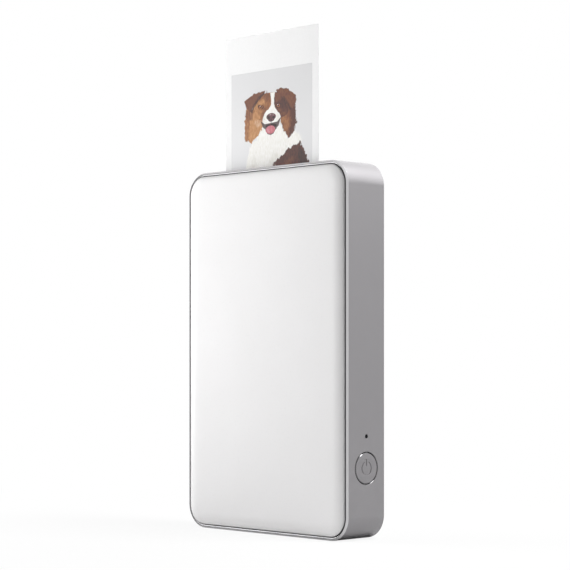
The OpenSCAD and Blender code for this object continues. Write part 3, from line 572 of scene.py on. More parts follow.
@dataclass(frozen=True)
class GlazedBar:
    """Fired ceramic with the dark glazed line of its heaters."""

    name: str
    colour: Colour
    line_z: float
    line_h: float = 0.9 * MM
    lead_pitch: float = 0.4 * MM
    lead_edge: tuple[float, float] = (0.15 * MM, 0.22 * MM)
    line_colour: Colour = (0.05, 0.035, 0.03)
    lead_colour: Colour = (0.5, 0.36, 0.12)
    grain: float = 2200.0
    depth: float = 8e-6

    def make(self) -> bpy.types.Material:
        """Build the material.

        Returns:
            The material.
        """
        g = Finish(self.name)
        across, _, up = g.axes()
        line = abs(up - self.line_z).step(self.line_h, self.line_h * 0.8)
        teeth = g.add("ShaderNodeMath", {"operation": "PINGPONG"}, {0: across, 1: self.lead_pitch})
        comb = teeth.step(*self.lead_edge)
        grains = g.noise(self.grain, 3.0)
        leads = comb * abs(up - self.line_z).step(self.line_h * 3.4, self.line_h * 3.2) * (1 - line)
        colour = g.mix(grains.step(0.35, 0.7), tint(self.colour, 0.92), self.colour)
        colour = g.mix(leads * 0.7, colour, self.lead_colour)
        colour = g.mix(line, colour, self.line_colour)
        rough = 0.5 - line * 0.38 + (grains - 0.5) * 0.1
        normal = g.bump(grains * (1 - line), self.depth)
        return g.surface(Base_Color=colour, Roughness=rough, Normal=normal)


@dataclass(frozen=True)
class Paper:
    """Coated photo paper with a faint fibre mottle."""

    name: str
    colour: Colour = (0.9, 0.9, 0.9)
    roughness: float = 0.32
    fibres: float = 900.0
    mottle: float = 120.0
    depth: float = 3e-6

    def make(self) -> bpy.types.Material:
        """Build the material.

        Returns:
            The material.
        """
        g = Finish(self.name)
        fibre = g.noise(self.fibres, 4.0, g.stretched((1.0, 1.0, 0.3)))
        mottle = g.noise(self.mottle, 3.0)
        colour = g.mix(fibre.step(0.35, 0.65), tint(self.colour, 0.98), self.colour)
        rough = self.roughness + (mottle - 0.5) * 0.08 + (fibre - 0.5) * 0.05
        return g.surface(Base_Color=colour, Roughness=rough, Normal=g.bump(fibre, self.depth))


@dataclass(frozen=True)
class Foil:
    """Crinkled laminate foil of a battery pouch."""

    name: str
    colour: Colour = (0.62, 0.63, 0.65)
    creases: float = 190.0
    ripples: float = 260.0
    grain: float = 2600.0
    depth: float = 9e-5

    def make(self) -> bpy.types.Material:
        """Build the material.

        Returns:
            The material.
        """
        g = Finish(self.name)
        edges = {"feature": "DISTANCE_TO_EDGE"}
        cells = {"Vector": g.here, "Scale": self.creases}
        creases = g.add("ShaderNodeTexVoronoi", edges, cells, "Distance").step(0.0, 0.12)
        ripple = g.noise(self.ripples, 4.0)
        fine = g.noise(self.grain)
        colour = g.mix(ripple.step(0.3, 0.7), tint(self.colour, 0.9), self.colour)
        # Painted shade: the foil's colour is darker along its creases.
        colour = g.mix((1 - creases) * 0.25, colour, tint(self.colour, 0.75))
        rough = 0.3 + (fine - 0.5) * 0.12 + (1 - creases) * 0.08
        normal = g.bump(creases * 0.5 + ripple, self.depth)
        return g.surface(Base_Color=colour, Roughness=rough, Metallic=0.85, Normal=normal)


@dataclass(frozen=True)
class Smoked:
    """Dark clear plastic, glossy, with hairlines."""

    name: str
    colour: Colour
    roughness: float = 0.12
    shine: float = 0.5
    haze: float = 900.0
    hairs: float = 4200.0
    depth: float = 2e-6

    def make(self) -> bpy.types.Material:
        """Build the material.

        Returns:
            The material.
        """
        g = Finish(self.name)
        haze = g.noise(self.haze, 3.0)
        hairs = g.noise(self.hairs, 2.0, g.stretched((0.05, 1.0, 0.4))).step(0.6, 0.72)
        colour = g.mix(haze.step(0.4, 0.7), self.colour, tint(self.colour, 1.6))
        rough = self.roughness + (haze - 0.5) * 0.06 + hairs * 0.1
        normal = g.bump(hairs, self.depth)
        return g.surface(Base_Color=colour, Roughness=rough, Normal=normal, Specular_IOR_Level=self.shine)


# ---- The printed picture -------------------------------------------------------------------------


@dataclass(frozen=True)
class Oval:
    """An ellipse on the sheet, in millimetres right of and below its top left corner."""

    x: float
    y: float
    half_w: float
    half_h: float
    lean: float = 0.0

    def depth(self, right: Signal, down: Signal) -> Signal:
        """How far inside a point lies.

        Args:
            right: the point's distance from the sheet's left edge, mm.
            down: its distance from the sheet's top edge, mm.

        Returns:
            Millimetres inside the edge, below 0 outside it.
        """
        cosine, sine = math.cos(self.lean), math.sin(self.lean)
        x, y = right - self.x, down - self.y
        along = (x * (cosine / self.half_w)) + (y * (sine / self.half_w))
        across = (y * (cosine / self.half_h)) - (x * (sine / self.half_h))
        return (1 - (along * along + across * across).root()) * min(self.half_w, self.half_h)


@dataclass(frozen=True)
class Facet:
    """A convex outline on the sheet, its corners clockwise as seen, in millimetres."""

    corners: tuple[Point2, ...]

    def depth(self, right: Signal, down: Signal) -> Signal:
        """How far inside a point lies.

        Args:
            right: the point's distance from the sheet's left edge, mm.
            down: its distance from the sheet's top edge, mm.

        Returns:
            Millimetres inside the edge, below 0 outside it.
        """
        inside: Signal | None = None
        for (x0, y0), (x1, y1) in zip(self.corners, self.corners[1:] + self.corners[:1]):
            length = math.hypot(x1 - x0, y1 - y0)
            nx, ny = -(y1 - y0) / length, (x1 - x0) / length
            side = right * nx + (down * ny - (x0 * nx + y0 * ny))
            inside = side if inside is None else inside.least(side)
        return inside


class Coat(Enum):
    """How ragged a patch's edge is: millimetres of fur and of blur."""

    SMOOTH = (0.0, 0.14)
    SHORT = (0.4, 0.3)
    LONG = (1.35, 0.55)
    SOFT = (0.9, 1.1)


@dataclass(frozen=True)
class Patch:
    """One layer of the picture: two colours that mix in streaks inside joined shapes."""

    base: Colour
    streak: Colour
    shapes: tuple[Oval | Facet, ...]
    coat: Coat = Coat.SHORT
    strength: float = 1.0


GOLD, TAN, BROWN = screen(208, 158, 106), screen(174, 118, 70), screen(126, 74, 42)
CHESTNUT, UMBER, DARK = screen(92, 46, 32), screen(62, 28, 20), screen(30, 12, 10)
CREAM, IVORY, SHADE = screen(252, 251, 248), screen(238, 236, 229), screen(218, 216, 208)
PINK, ROSE, LIP = screen(214, 132, 142), screen(180, 90, 102), screen(30, 8, 10)
NOSE, NOSTRIL, GLINT = screen(112, 66, 72), screen(30, 10, 14), screen(226, 206, 208)

PORTRAIT: tuple[Patch, ...] = (
    # Chest
    Patch(CREAM, IVORY, (
        Oval(25.5, 49.5, 15.5, 12.0), Oval(22.0, 62.0, 17.0, 16.0), Oval(35.0, 42.0, 6.5, 4.6),
        Oval(16.4, 45.0, 5.0, 5.0), Oval(24.6, 39.6, 8.4, 5.4),
    ), Coat.SOFT),
    Patch(IVORY, SHADE, (
        Oval(25.0, 53.0, 3.2, 9.0, 0.25), Oval(14.0, 52.0, 1.6, 7.0, 0.1),
    ), Coat.SOFT, 0.55),
    # Shoulder and back
    Patch(UMBER, CHESTNUT, (
        Facet((
            (36.0, 43.4), (40.5, 42.0), (42.4, 45.4), (42.4, 60.0), (26.5, 60.0), (23.6, 50.8), (29.4, 47.0),
        )),
        Facet((
            (40.5, 42.0), (42.4, 44.4), (46.4, 51.2), (48.0, 62.0), (47.0, 76.0), (28.0, 76.0), (26.0, 58.0),
        )),
    ), Coat.LONG),
    Patch(DARK, UMBER, (
        Facet(((40.2, 43.0), (42.4, 45.8), (46.4, 51.2), (47.0, 56.0), (42.0, 56.0), (39.6, 47.0))),
        Facet(((42.0, 55.0), (47.0, 55.0), (48.0, 62.0), (47.4, 76.0), (41.0, 76.0))),
    ), Coat.LONG, 0.8),
    Patch(CHESTNUT, BROWN, (
        Oval(33.0, 50.0, 4.6, 1.6, -0.5), Oval(36.5, 58.0, 3.4, 4.6, 0.3),
    ), Coat.SOFT, 0.7),
    # Cheeks
    Patch(TAN, GOLD, (
        Facet((
            (10.2, 27.0), (20.0, 28.5), (20.6, 33.5), (18.4, 36.6), (13.6, 40.4), (9.4, 39.4), (9.0, 33.0),
        )),
    ), Coat.LONG),
    Patch(BROWN, TAN, (
        Facet(((9.8, 27.0), (12.4, 27.6), (12.2, 34.6), (9.0, 34.6))),
        Facet(((9.0, 33.8), (12.0, 33.8), (11.2, 40.2), (9.0, 39.4))),
    ), Coat.LONG, 0.75),
    Patch(GOLD, CREAM, (Oval(16.8, 32.8, 1.9, 2.2, 0.35),), Coat.SOFT, 0.3),
    Patch(CHESTNUT, BROWN, (Oval(12.2, 29.6, 2.9, 2.2, -0.3),), Coat.SOFT, 0.65),
    Patch(BROWN, CHESTNUT, (
        Facet((
            (30.0, 27.0), (38.0, 27.6), (38.6, 34.6), (37.0, 38.4), (34.0, 39.6), (31.2, 36.8), (29.6, 33.0),
        )),
    ), Coat.LONG),
    Patch(UMBER, CHESTNUT, (
        Facet(((35.0, 28.0), (38.0, 28.0), (38.7, 35.2), (36.0, 35.2))),
        Facet(((35.8, 34.4), (38.7, 34.4), (37.1, 38.6), (34.0, 39.9))),
    ), Coat.LONG, 0.85),
    Patch(TAN, BROWN, (Oval(31.4, 31.8, 1.7, 3.0, 0.3), Oval(33.0, 35.0, 1.6, 2.6, 0.2)), Coat.SOFT, 0.8),
    # Head
    Patch(BROWN, TAN, (
        Oval(20.2, 27.8, 6.4, 5.0), Oval(21.4, 25.6, 4.8, 3.0), Oval(24.2, 26.0, 7.0, 3.5),
    ), Coat.SHORT),
    Patch(TAN, GOLD, (
        Oval(19.4, 25.7, 2.2, 0.9, -0.3), Oval(16.0, 30.6, 2.4, 1.5, 0.3), Oval(15.6, 27.6, 1.2, 1.6),
    ), Coat.SOFT, 0.85),
    Patch(CHESTNUT, BROWN, (Oval(21.9, 24.0, 2.0, 1.7), Oval(20.6, 30.2, 1.4, 2.7, 0.15)), Coat.SOFT, 0.7),
    Patch(UMBER, CHESTNUT, (Oval(29.4, 26.4, 4.4, 4.2), Oval(30.4, 29.6, 3.8, 2.6)), Coat.SHORT),
    Patch(BROWN, CHESTNUT, (
        Oval(28.2, 24.6, 1.8, 1.6, 0.4), Oval(31.4, 31.0, 1.8, 0.9), Oval(26.9, 28.6, 0.7, 1.4),
        Oval(29.2, 29.4, 1.4, 0.6),
    ), Coat.SOFT, 0.8),
    # Blaze and muzzle
    Patch(CREAM, IVORY, (
        Facet(((23.9, 22.6), (26.5, 22.6), (26.0, 25.8), (24.4, 25.8))),
        Facet(((24.4, 25.4), (26.0, 25.4), (26.0, 27.6), (24.3, 27.6))),
        Facet(((24.3, 27.2), (26.0, 27.2), (27.2, 29.0), (22.6, 29.0))),
        Facet(((23.0, 28.5), (27.0, 28.5), (28.5, 30.8), (29.0, 32.0), (20.2, 32.0), (21.2, 30.2))),
    ), Coat.SHORT),
    Patch(CREAM, IVORY, (
        Oval(24.4, 31.4, 4.2, 2.8), Oval(22.6, 32.6, 3.0, 2.5), Oval(27.0, 32.3, 2.7, 2.5),
    ), Coat.SHORT),
    Patch(SHADE, IVORY, (
        Oval(20.2, 33.0, 0.9, 1.6, 0.3), Oval(28.6, 32.6, 0.8, 1.6, -0.3),
    ), Coat.SOFT, 0.5),
    Patch(BROWN, TAN, (
        Oval(20.6, 32.2, 0.16, 0.16), Oval(21.5, 33.6, 0.16, 0.16), Oval(27.4, 32.7, 0.15, 0.15),
    ), Coat.SMOOTH, 0.5),
    # Mouth and tongue
    Patch(UMBER, LIP, (
        Facet(((18.2, 32.6), (21.2, 34.4), (21.6, 36.4), (19.8, 35.4))),
        Facet(((20.6, 34.1), (24.4, 33.9), (24.4, 36.8), (21.2, 36.8))),
        Facet(((24.2, 33.9), (28.0, 33.7), (27.4, 36.4), (24.2, 36.8))),
        Facet(((27.4, 34.1), (30.0, 32.0), (28.6, 35.2), (27.2, 36.2))),
        Facet(((21.2, 36.3), (27.4, 36.0), (25.8, 37.9), (24.2, 38.4), (22.2, 37.9))),
    ), Coat.SMOOTH, 0.92),
    Patch(LIP, NOSTRIL, (Oval(24.4, 35.0, 3.2, 0.8),), Coat.SMOOTH),
    Patch(PINK, ROSE, (Oval(23.9, 36.4, 2.7, 1.5), Oval(24.1, 35.9, 2.3, 1.0)), Coat.SMOOTH),
    Patch(ROSE, ROSE, (Oval(24.0, 36.4, 0.16, 1.1),), Coat.SOFT, 0.5),
    Patch(GLINT, PINK, (Oval(22.8, 36.6, 0.5, 0.25, 0.3),), Coat.SOFT, 0.5),
    # Nose
    Patch(NOSE, LIP, (Oval(24.4, 31.6, 2.7, 1.35), Oval(24.4, 32.5, 1.8, 0.95)), Coat.SMOOTH),
    Patch(NOSTRIL, NOSTRIL, (
        Oval(23.0, 31.9, 0.66, 0.42, 0.4), Oval(25.8, 31.9, 0.66, 0.42, -0.4), Oval(24.4, 33.5, 0.14, 0.9),
    ), Coat.SMOOTH),
    Patch(GLINT, NOSE, (Oval(23.7, 30.8, 0.8, 0.22), Oval(25.5, 31.0, 0.4, 0.18)), Coat.SMOOTH, 0.6),
    # Eyes
    Patch(UMBER, LIP, (
        Oval(18.4, 27.4, 1.75, 0.82, 0.16), Oval(28.5, 27.7, 1.65, 0.82, -0.12),
    ), Coat.SMOOTH, 0.9),
    Patch(GOLD, TAN, (Oval(18.3, 26.0, 1.5, 0.4, 0.1), Oval(18.0, 28.9, 1.6, 0.35, 0.1)), Coat.SOFT, 0.6),
    Patch(screen(172, 106, 62), BROWN, (
        Oval(18.4, 27.45, 1.1, 0.66), Oval(28.5, 27.75, 1.0, 0.6),
    ), Coat.SMOOTH, 0.9),
    Patch(NOSTRIL, NOSTRIL, (Oval(18.5, 27.4, 0.46, 0.42), Oval(28.5, 27.7, 0.42, 0.4)), Coat.SMOOTH),
    Patch(GLINT, GLINT, (Oval(18.1, 27.15, 0.22, 0.17), Oval(28.2, 27.45, 0.22, 0.17)), Coat.SMOOTH),
    # Left ear
    Patch(CHESTNUT, BROWN, (
        Facet(((8.8, 24.6), (14.3, 22.2), (15.0, 26.0), (12.2, 28.8), (9.9, 27.2))),
        Facet(((14.0, 22.3), (21.0, 21.5), (20.4, 22.8), (14.2, 27.0))),
    ), Coat.SHORT),
    Patch(BROWN, CHESTNUT, (
        Facet(((10.0, 25.0), (14.6, 23.2), (16.2, 23.6), (12.4, 27.8))),
    ), Coat.SOFT, 0.7),
    Patch(DARK, UMBER, (
        Facet(((20.9, 21.8), (20.4, 22.9), (17.3, 24.8), (16.7, 23.7))),
        Facet(((16.7, 23.7), (17.3, 24.8), (13.2, 29.2), (12.2, 28.6))),
    ), Coat.SHORT, 0.75),
    # Right ear
    Patch(CHESTNUT, BROWN, (
        Facet(((27.0, 22.0), (30.0, 21.3), (34.4, 22.2), (35.0, 27.4), (31.2, 25.2))),
        Facet((
            (33.4, 22.0), (38.4, 24.8), (38.6, 26.8), (36.8, 29.4), (35.5, 30.2), (33.0, 27.8), (31.6, 25.2),
        )),
    ), Coat.SHORT),
    Patch(BROWN, CHESTNUT, (
        Facet(((32.0, 24.4), (36.4, 24.7), (36.6, 27.0), (35.4, 29.2), (33.6, 27.2))),
    ), Coat.SOFT, 0.9),
    Patch(DARK, UMBER, (
        Facet(((31.0, 24.6), (32.0, 24.7), (34.2, 27.4), (32.6, 27.6))),
        Facet(((32.6, 27.0), (34.0, 27.0), (36.1, 29.7), (35.3, 30.4))),
    ), Coat.SHORT, 0.7),
)


@dataclass(frozen=True)
class PrintedPaper:
    """A bordered photo print of a dog, on one side of the sheet.

    Left and top are the sheet's edges in the part's frame, in metres. Its other lengths are in
    millimetres.
    """

    name: str
    left: float
    top: float
    width: float = 50.0
    height: float = 76.2
    side_border: float = 3.2
    top_border: float = 13.9
    foot_border: float = 1.8
    paper: Colour = (0.95, 0.95, 0.95)
    ground: Colour = screen(227, 227, 228)
    picture_at: float = 2.1
    picture_scale: float = 0.943
    wisps: float = 1500.0
    tufts: float = 620.0
    streaks: float = 2100.0
    fibres: float = 900.0
    depth: float = 2e-6
    shine: float = 0.26

    def make(self) -> bpy.types.Material:
        """Build the material.

        Returns:
            The material.
        """
        g = Finish(self.name)
        x, _, z = g.axes()
        right = (x - self.left) / MM
        down = (self.top - z) / MM
        facing = g.axes(g.add("ShaderNodeTexCoord", None, None, "Normal"))[1].step(-0.4, -0.6)
        wisp = g.noise(self.wisps, 3.0, g.stretched((1.0, 1.0, 0.45)))
        tuft = g.noise(self.tufts, 2.0, g.stretched((1.0, 1.0, 0.6)))
        streaks = g.noise(self.streaks, 3.0, g.stretched((1.0, 1.0, 0.28))).step(0.32, 0.68)
        shift_x, shift_y = wisp - 0.5, tuft - 0.5
        edge = self._frame(right, down)
        fall = (down / self.height).step(0.1, 0.7)
        picture = g.mix(fall, tint(self.ground, 0.97), tint(self.ground, 1.05))
        across = (right - self.picture_at) / self.picture_scale
        for patch in PORTRAIT:
            picture = self._paint(g, picture, patch, across, down, streaks, shift_x, shift_y)
        fibre = g.noise(self.fibres, 4.0)
        stock = g.mix(fibre.step(0.35, 0.65), tint(self.paper, 0.985), self.paper)
        colour = g.mix(edge * facing, stock, picture)
        rough = 0.62 + (fibre - 0.5) * 0.05 - edge * 0.04
        normal = g.bump(fibre, self.depth)
        return g.surface(Base_Color=colour, Roughness=rough, Normal=normal, Specular_IOR_Level=self.shine)

    def _frame(self, right: Signal, down: Signal) -> Signal:
        """Where the picture is, inside its border.

        Args:
            right: distance from the sheet's left edge, mm.
            down: distance from its top edge, mm.

        Returns:
            1 on the picture and 0 on the border.
        """
        sides = (right - self.side_border).least(self.width - self.side_border - right)
        ends = (down - self.top_border).least(self.height - self.foot_border - down)
        return sides.least(ends).step(-0.04, 0.04)

    @staticmethod
    def _paint(
        g: Finish,
        under: Signal,
        patch: Patch,
        right: Signal,
        down: Signal,
        streaks: Signal,
        shift_x: Signal,
        shift_y: Signal,
    ) -> Signal:
        """Lay one patch over the picture so far.

        Args:
            g: the graph.
            under: the picture so far.
            patch: the patch.
            right: distance from the sheet's left edge, mm.
            down: distance from its top edge, mm.
            streaks: where the second colour shows.
            shift_x: noise about 0 that ruffles sideways.
            shift_y: noise about 0 that ruffles up and down.

        Returns:
            The picture with the patch on it.
        """
        fur, blur = patch.coat.value
        if fur:
            right, down = right + shift_x * (fur * 2), down + shift_y * (fur * 3)
        depths = [shape.depth(right, down) for shape in patch.shapes]
        inside = depths[0]
        for other in depths[1:]:
            inside = inside.most(other)
        mask = inside.step(-blur / 2, blur / 2)
        colour = patch.base
        if patch.streak != patch.base:
            colour = g.mix(streaks * 0.8, patch.base, patch.streak)
        return g.mix(mask * patch.strength, under, colour)


# ---- Making pieces -------------------------------------------------------------------------------


SMOOTH_ANGLE = math.radians(34)
BEVEL_ANGLE = math.radians(38)
SKIN_ANGLE = math.radians(40)
TURNED_ANGLE = math.radians(50)
WELD_REACH = 1e-6
SEAM_REACH = 1e-7


class Rounding(Enum):
    """How a carried-over piece's edges are broken: width in metres and steps."""

    SHARP = (0.0, 0)
    STAMPED = (0.05 * MM, 1)
    TURNED = (0.08 * MM, 2)
    MOULD = (0.14 * MM, 2)
    SOFT = (0.25 * MM, 3)


class Shading:
    """The modifier that shades a carried-over piece smoothly up to an angle."""

    def __init__(self, angle: float = SMOOTH_ANGLE) -> None:
        """Build the geometry nodes.

        Args:
            angle: the greatest angle that is still shaded smoothly.
        """
        tree = bpy.data.node_groups.new("smooth_to_angle", "GeometryNodeTree")
        for way in ("INPUT", "OUTPUT"):
            tree.interface.new_socket("Geometry", in_out=way, socket_type="NodeSocketGeometry")
        g = NodeGraph(tree)
        solid = g.add("NodeGroupInput")
        bare = g.add("GeometryNodeRemoveAttribute", None, {"Geometry": solid, "Name": "custom_normal"})
        every_face = {"Geometry": bare, "Shade Smooth": True}
        faces = g.add("GeometryNodeSetShadeSmooth", {"domain": "FACE"}, every_face)
        bend = g.add("GeometryNodeInputMeshEdgeAngle")
        under = {"data_type": "FLOAT", "operation": "LESS_THAN"}
        gentle = g.add("FunctionNodeCompare", under, {0: bend, 1: angle})
        gentle_edges = {"Geometry": faces, "Shade Smooth": gentle}
        edges = g.add("GeometryNodeSetShadeSmooth", {"domain": "EDGE"}, gentle_edges)
        g.add("NodeGroupOutput", None, {"Geometry": edges})
        self.tree = tree

    def put_on(self, piece: bpy.types.Object, rounding: Rounding) -> None:
        """Break a piece's edges and smooth its shading.

        Args:
            piece: the piece.
            rounding: how its edges are broken.
        """
        piece.modifiers.new("weld", "WELD").merge_threshold = WELD_REACH
        width, steps = rounding.value
        if width:
            bevel = piece.modifiers.new("edges", "BEVEL")
            bevel.width, bevel.segments = width, steps
            bevel.limit_method, bevel.angle_limit = "ANGLE", BEVEL_ANGLE
            bevel.use_clamp_overlap = True
        piece.modifiers.new("shading", "NODES").node_group = self.tree
        flat = piece.modifiers.new("flat_faces", "WEIGHTED_NORMAL")
        flat.mode, flat.weight, flat.keep_sharp = "FACE_AREA", 50, True


@dataclass
class Workshop:
    """Makes pieces, gives them finishes and sets them on their bodies."""

    finishes: dict[str, bpy.types.Material] = field(default_factory=dict)
    shading: Shading = field(default_factory=Shading)
    made: int = 0

    def stock(self, slot: str, finish: bpy.types.Material) -> None:
        """Keep a finish under its slot's name."""
        self.finishes[slot] = finish

    def dress(self, slot: str, rounding: Rounding, *nodes: str) -> None:
        """Give carried-over nodes their finish and edges.

        Args:
            slot: the finish.
            rounding: how their edges are broken.
            nodes: the nodes' names.
        """
        for name in nodes:
            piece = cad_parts[name]
            piece.data.materials.clear()
            piece.data.materials.append(self.finishes[slot])
            self.shading.put_on(piece, rounding)
            self.made += 1
            log.info("dressed %s in %s", name, slot)

    def piece(
        self,
        name: str,
        mesh: bpy.types.Mesh,
        slot: str,
        body: str,
        replaces: Sequence[str] = (),
        finish: str | None = None,
    ) -> bpy.types.Object:
        """Put a modelled piece in the scene.

        Args:
            name: the piece's name.
            mesh: its mesh, in the part's frame.
            slot: the material slot it takes.
            body: the body it rides on.
            replaces: nodes that it stands for.
            finish: a finish other than the slot's own.

        Returns:
            The piece.
        """
        made = bpy.data.objects.new(name, mesh)
        bpy.context.scene.collection.objects.link(made)
        mesh.materials.clear()
        mesh.materials.append(self.finishes[finish or slot])
        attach(made, body)
        if replaces:
            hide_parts(*replaces)
        self.made += 1
        log.info("made %s: %d faces on %s", name, len(mesh.polygons), body)
        return made


def skin(name: str, loops: Sequence[Sequence[Point3]], angle: float = SKIN_ANGLE) -> bpy.types.Mesh:
    """Join closed loops into one closed skin, with a face over the first and the last.

    Args:
        name: the mesh's name.
        loops: rings of equal count, in order.
        angle: edges bent by more than this stay sharp.

    Returns:
        The mesh, with its normals outward.
    """
    mesh, bm = bpy.data.meshes.new(name), bmesh.new()
    rings = [[bm.verts.new(point) for point in loop] for loop in loops]
    count = len(rings[0])
    for near, far in zip(rings, rings[1:]):
        for i in range(count):
            j = (i + 1) % count
            bm.faces.new((near[i], near[j], far[j], far[i]))
    bm.faces.new(rings[0][::-1])
    bm.faces.new(rings[-1])
    close(bm, mesh, angle)
    return mesh


def close(bm: bmesh.types.BMesh, mesh: bpy.types.Mesh, angle: float = SKIN_ANGLE) -> None:
    """Turn the faces outward, shade them smooth up to an angle and store them.

    Args:
        bm: the mesh being made.
        mesh: where it goes.
        angle: edges bent by more than this stay sharp.
    """
    bmesh.ops.recalc_face_normals(bm, faces=bm.faces)
    for face in bm.faces:
        face.smooth = True
    bm.to_mesh(mesh)
    bm.free()
    mesh.set_sharp_from_angle(angle=angle)


def arc_points(centre: Point2, radius: float, angles: Iterable[float]) -> list[Point2]:
    """Points on a circle.

    Args:
        centre: its centre.
        radius: its radius.
        angles: the angle of each point.

    Returns:
        The points, in the angles' order.
    """
    return [(centre[0] + radius * math.cos(a), centre[1] + radius * math.sin(a)) for a in angles]


# ---- The casing ----------------------------------------------------------------------------------


@dataclass
class Casing:
    """The band, the two covers and their shared outline."""

    half_w: float = 42.7 * MM
    height: float = 136.0 * MM
    corner_r: float = 8.8 * MM
    band_half_d: float = 9.9 * MM
    cover_rise: float = 0.9 * MM
    edge_in: float = 1.5 * MM
    roll_w: float = 5.0 * MM
    seam_drop: float = 0.2 * MM
    shell_t: float = 1.0 * MM
    skirt_w: float = 1.0 * MM
    liner_t: float = 0.8 * MM
    least_r: float = 0.02 * MM
    foot_soft: float = 0.12 * MM
    face_lip: float = 0.6 * MM
    inner_lip: float = 0.4 * MM
    plate_lip: float = 1.0 * MM
    corner_steps: int = 20
    roll_steps: int = 22
    clip_levels: tuple[float, ...] = (34.0 * MM, 68.0 * MM, 102.0 * MM)
    clip_in: float = 2.7 * MM
    clip_half_t: float = 0.4 * MM
    clip_half_w: float = 3.0 * MM
    clip_span: tuple[float, float] = (0.9 * MM, 2.7 * MM)
    clip_taper: float = 0.8

    def ring(self, inset: float, depth: float) -> list[Point3]:
        """The body's outline, moved in.

        Args:
            inset: how far it is moved in.
            depth: the Y of its plane.

        Returns:
            Its points.
        """
        radius = max(self.corner_r - inset, self.least_r)
        pitch_x = self.half_w - max(self.corner_r, inset)
        top, foot = self.height - self.corner_r, self.corner_r
        corners = ((pitch_x, top, 0), (-pitch_x, top, 90), (-pitch_x, foot, 180), (pitch_x, foot, 270))
        points: list[Point2] = []
        for x, z, start in corners:
            turns = [math.radians(start + 90 * i / self.corner_steps) for i in range(self.corner_steps + 1)]
            points += arc_points((x, z), radius, turns)
        return [(x, depth, z) for x, z in points]

    def cover_rings(self, front: bool) -> list[list[Point3]]:
        """The rings of a cover plate, from its inside round the rolled edge to its face.

        Args:
            front: the front cover, a hollow dish; otherwise the solid back one.

        Returns:
            The rings.
        """
        out = -1 if front else 1
        edge_y = self.band_half_d - self.seam_drop
        face_y = self.band_half_d + self.cover_rise
        shell_in = face_y - self.shell_t
        foot_y = shell_in - self.liner_t
        edge, soft = self.edge_in, self.foot_soft
        spots: list[Point2] = [(edge + self.plate_lip, foot_y)]
        if front:
            wall = edge + self.skirt_w
            spots = [(wall + self.inner_lip, shell_in), (wall, shell_in)]
            spots += [(wall, foot_y + soft), (wall - soft, foot_y)]
        spots += [(edge + soft, foot_y), (edge, foot_y + soft), (edge, edge_y - soft)]
        for i in range(self.roll_steps + 1):
            a = math.radians(90 * i / self.roll_steps)
            inset = edge + self.roll_w * (1 - math.cos(a))
            spots.append((inset, edge_y + (face_y - edge_y) * math.sin(a)))
        spots.append((edge + self.roll_w + self.face_lip, face_y))
        return [self.ring(inset, out * depth) for inset, depth in spots]

    def build(self, shop: Workshop) -> None:
        """Make the covers and dress the band.

        Args:
            shop: the workshop.
        """
        front = skin("front_cover_skin", self.cover_rings(True))
        shop.piece("front_cover_skin", front, "cover_white", "cover", ["front_cover"])
        back = skin("back_cover_skin", self.cover_rings(False))
        shop.piece("back_cover_skin", back, "cover_white", "case", ["back_cover"])
        shop.piece("back_cover_clips", self._clips(), "cover_white", "case")
        shop.dress("band_silver", Rounding.STAMPED, "side_band")
        shop.dress("liner_grey", Rounding.MOULD, "cover_liner")
        shop.dress("bright_steel", Rounding.TURNED, "hinge_pins")
        shop.dress("nickel", Rounding.TURNED, "cover_magnets", "frame_magnets")

    def _clips(self) -> bpy.types.Mesh:
        """The clips that hold the back cover, each a small tapered tongue.

        Returns:
            The mesh.
        """
        mesh, bm = bpy.data.meshes.new("back_cover_clips"), bmesh.new()
        x_mid = self.half_w - self.clip_in
        root, tip = (self.band_half_d - drop for drop in self.clip_span)
        for side in (-1, 1):
            for level in self.clip_levels:
                for vert in bmesh.ops.create_cube(bm, size=1.0)["verts"]:
                    at_root = vert.co.y > 0
                    half_w = self.clip_half_w if at_root else self.clip_half_w * self.clip_taper
                    x = side * (x_mid + 2 * vert.co.x * self.clip_half_t)
                    vert.co = Vector((x, root if at_root else tip, level + 2 * vert.co.z * half_w))
        bmesh.ops.bevel(bm, geom=bm.edges[:], offset=self.foot_soft, segments=2, affect="EDGES")
        close(bm, mesh)
        return mesh


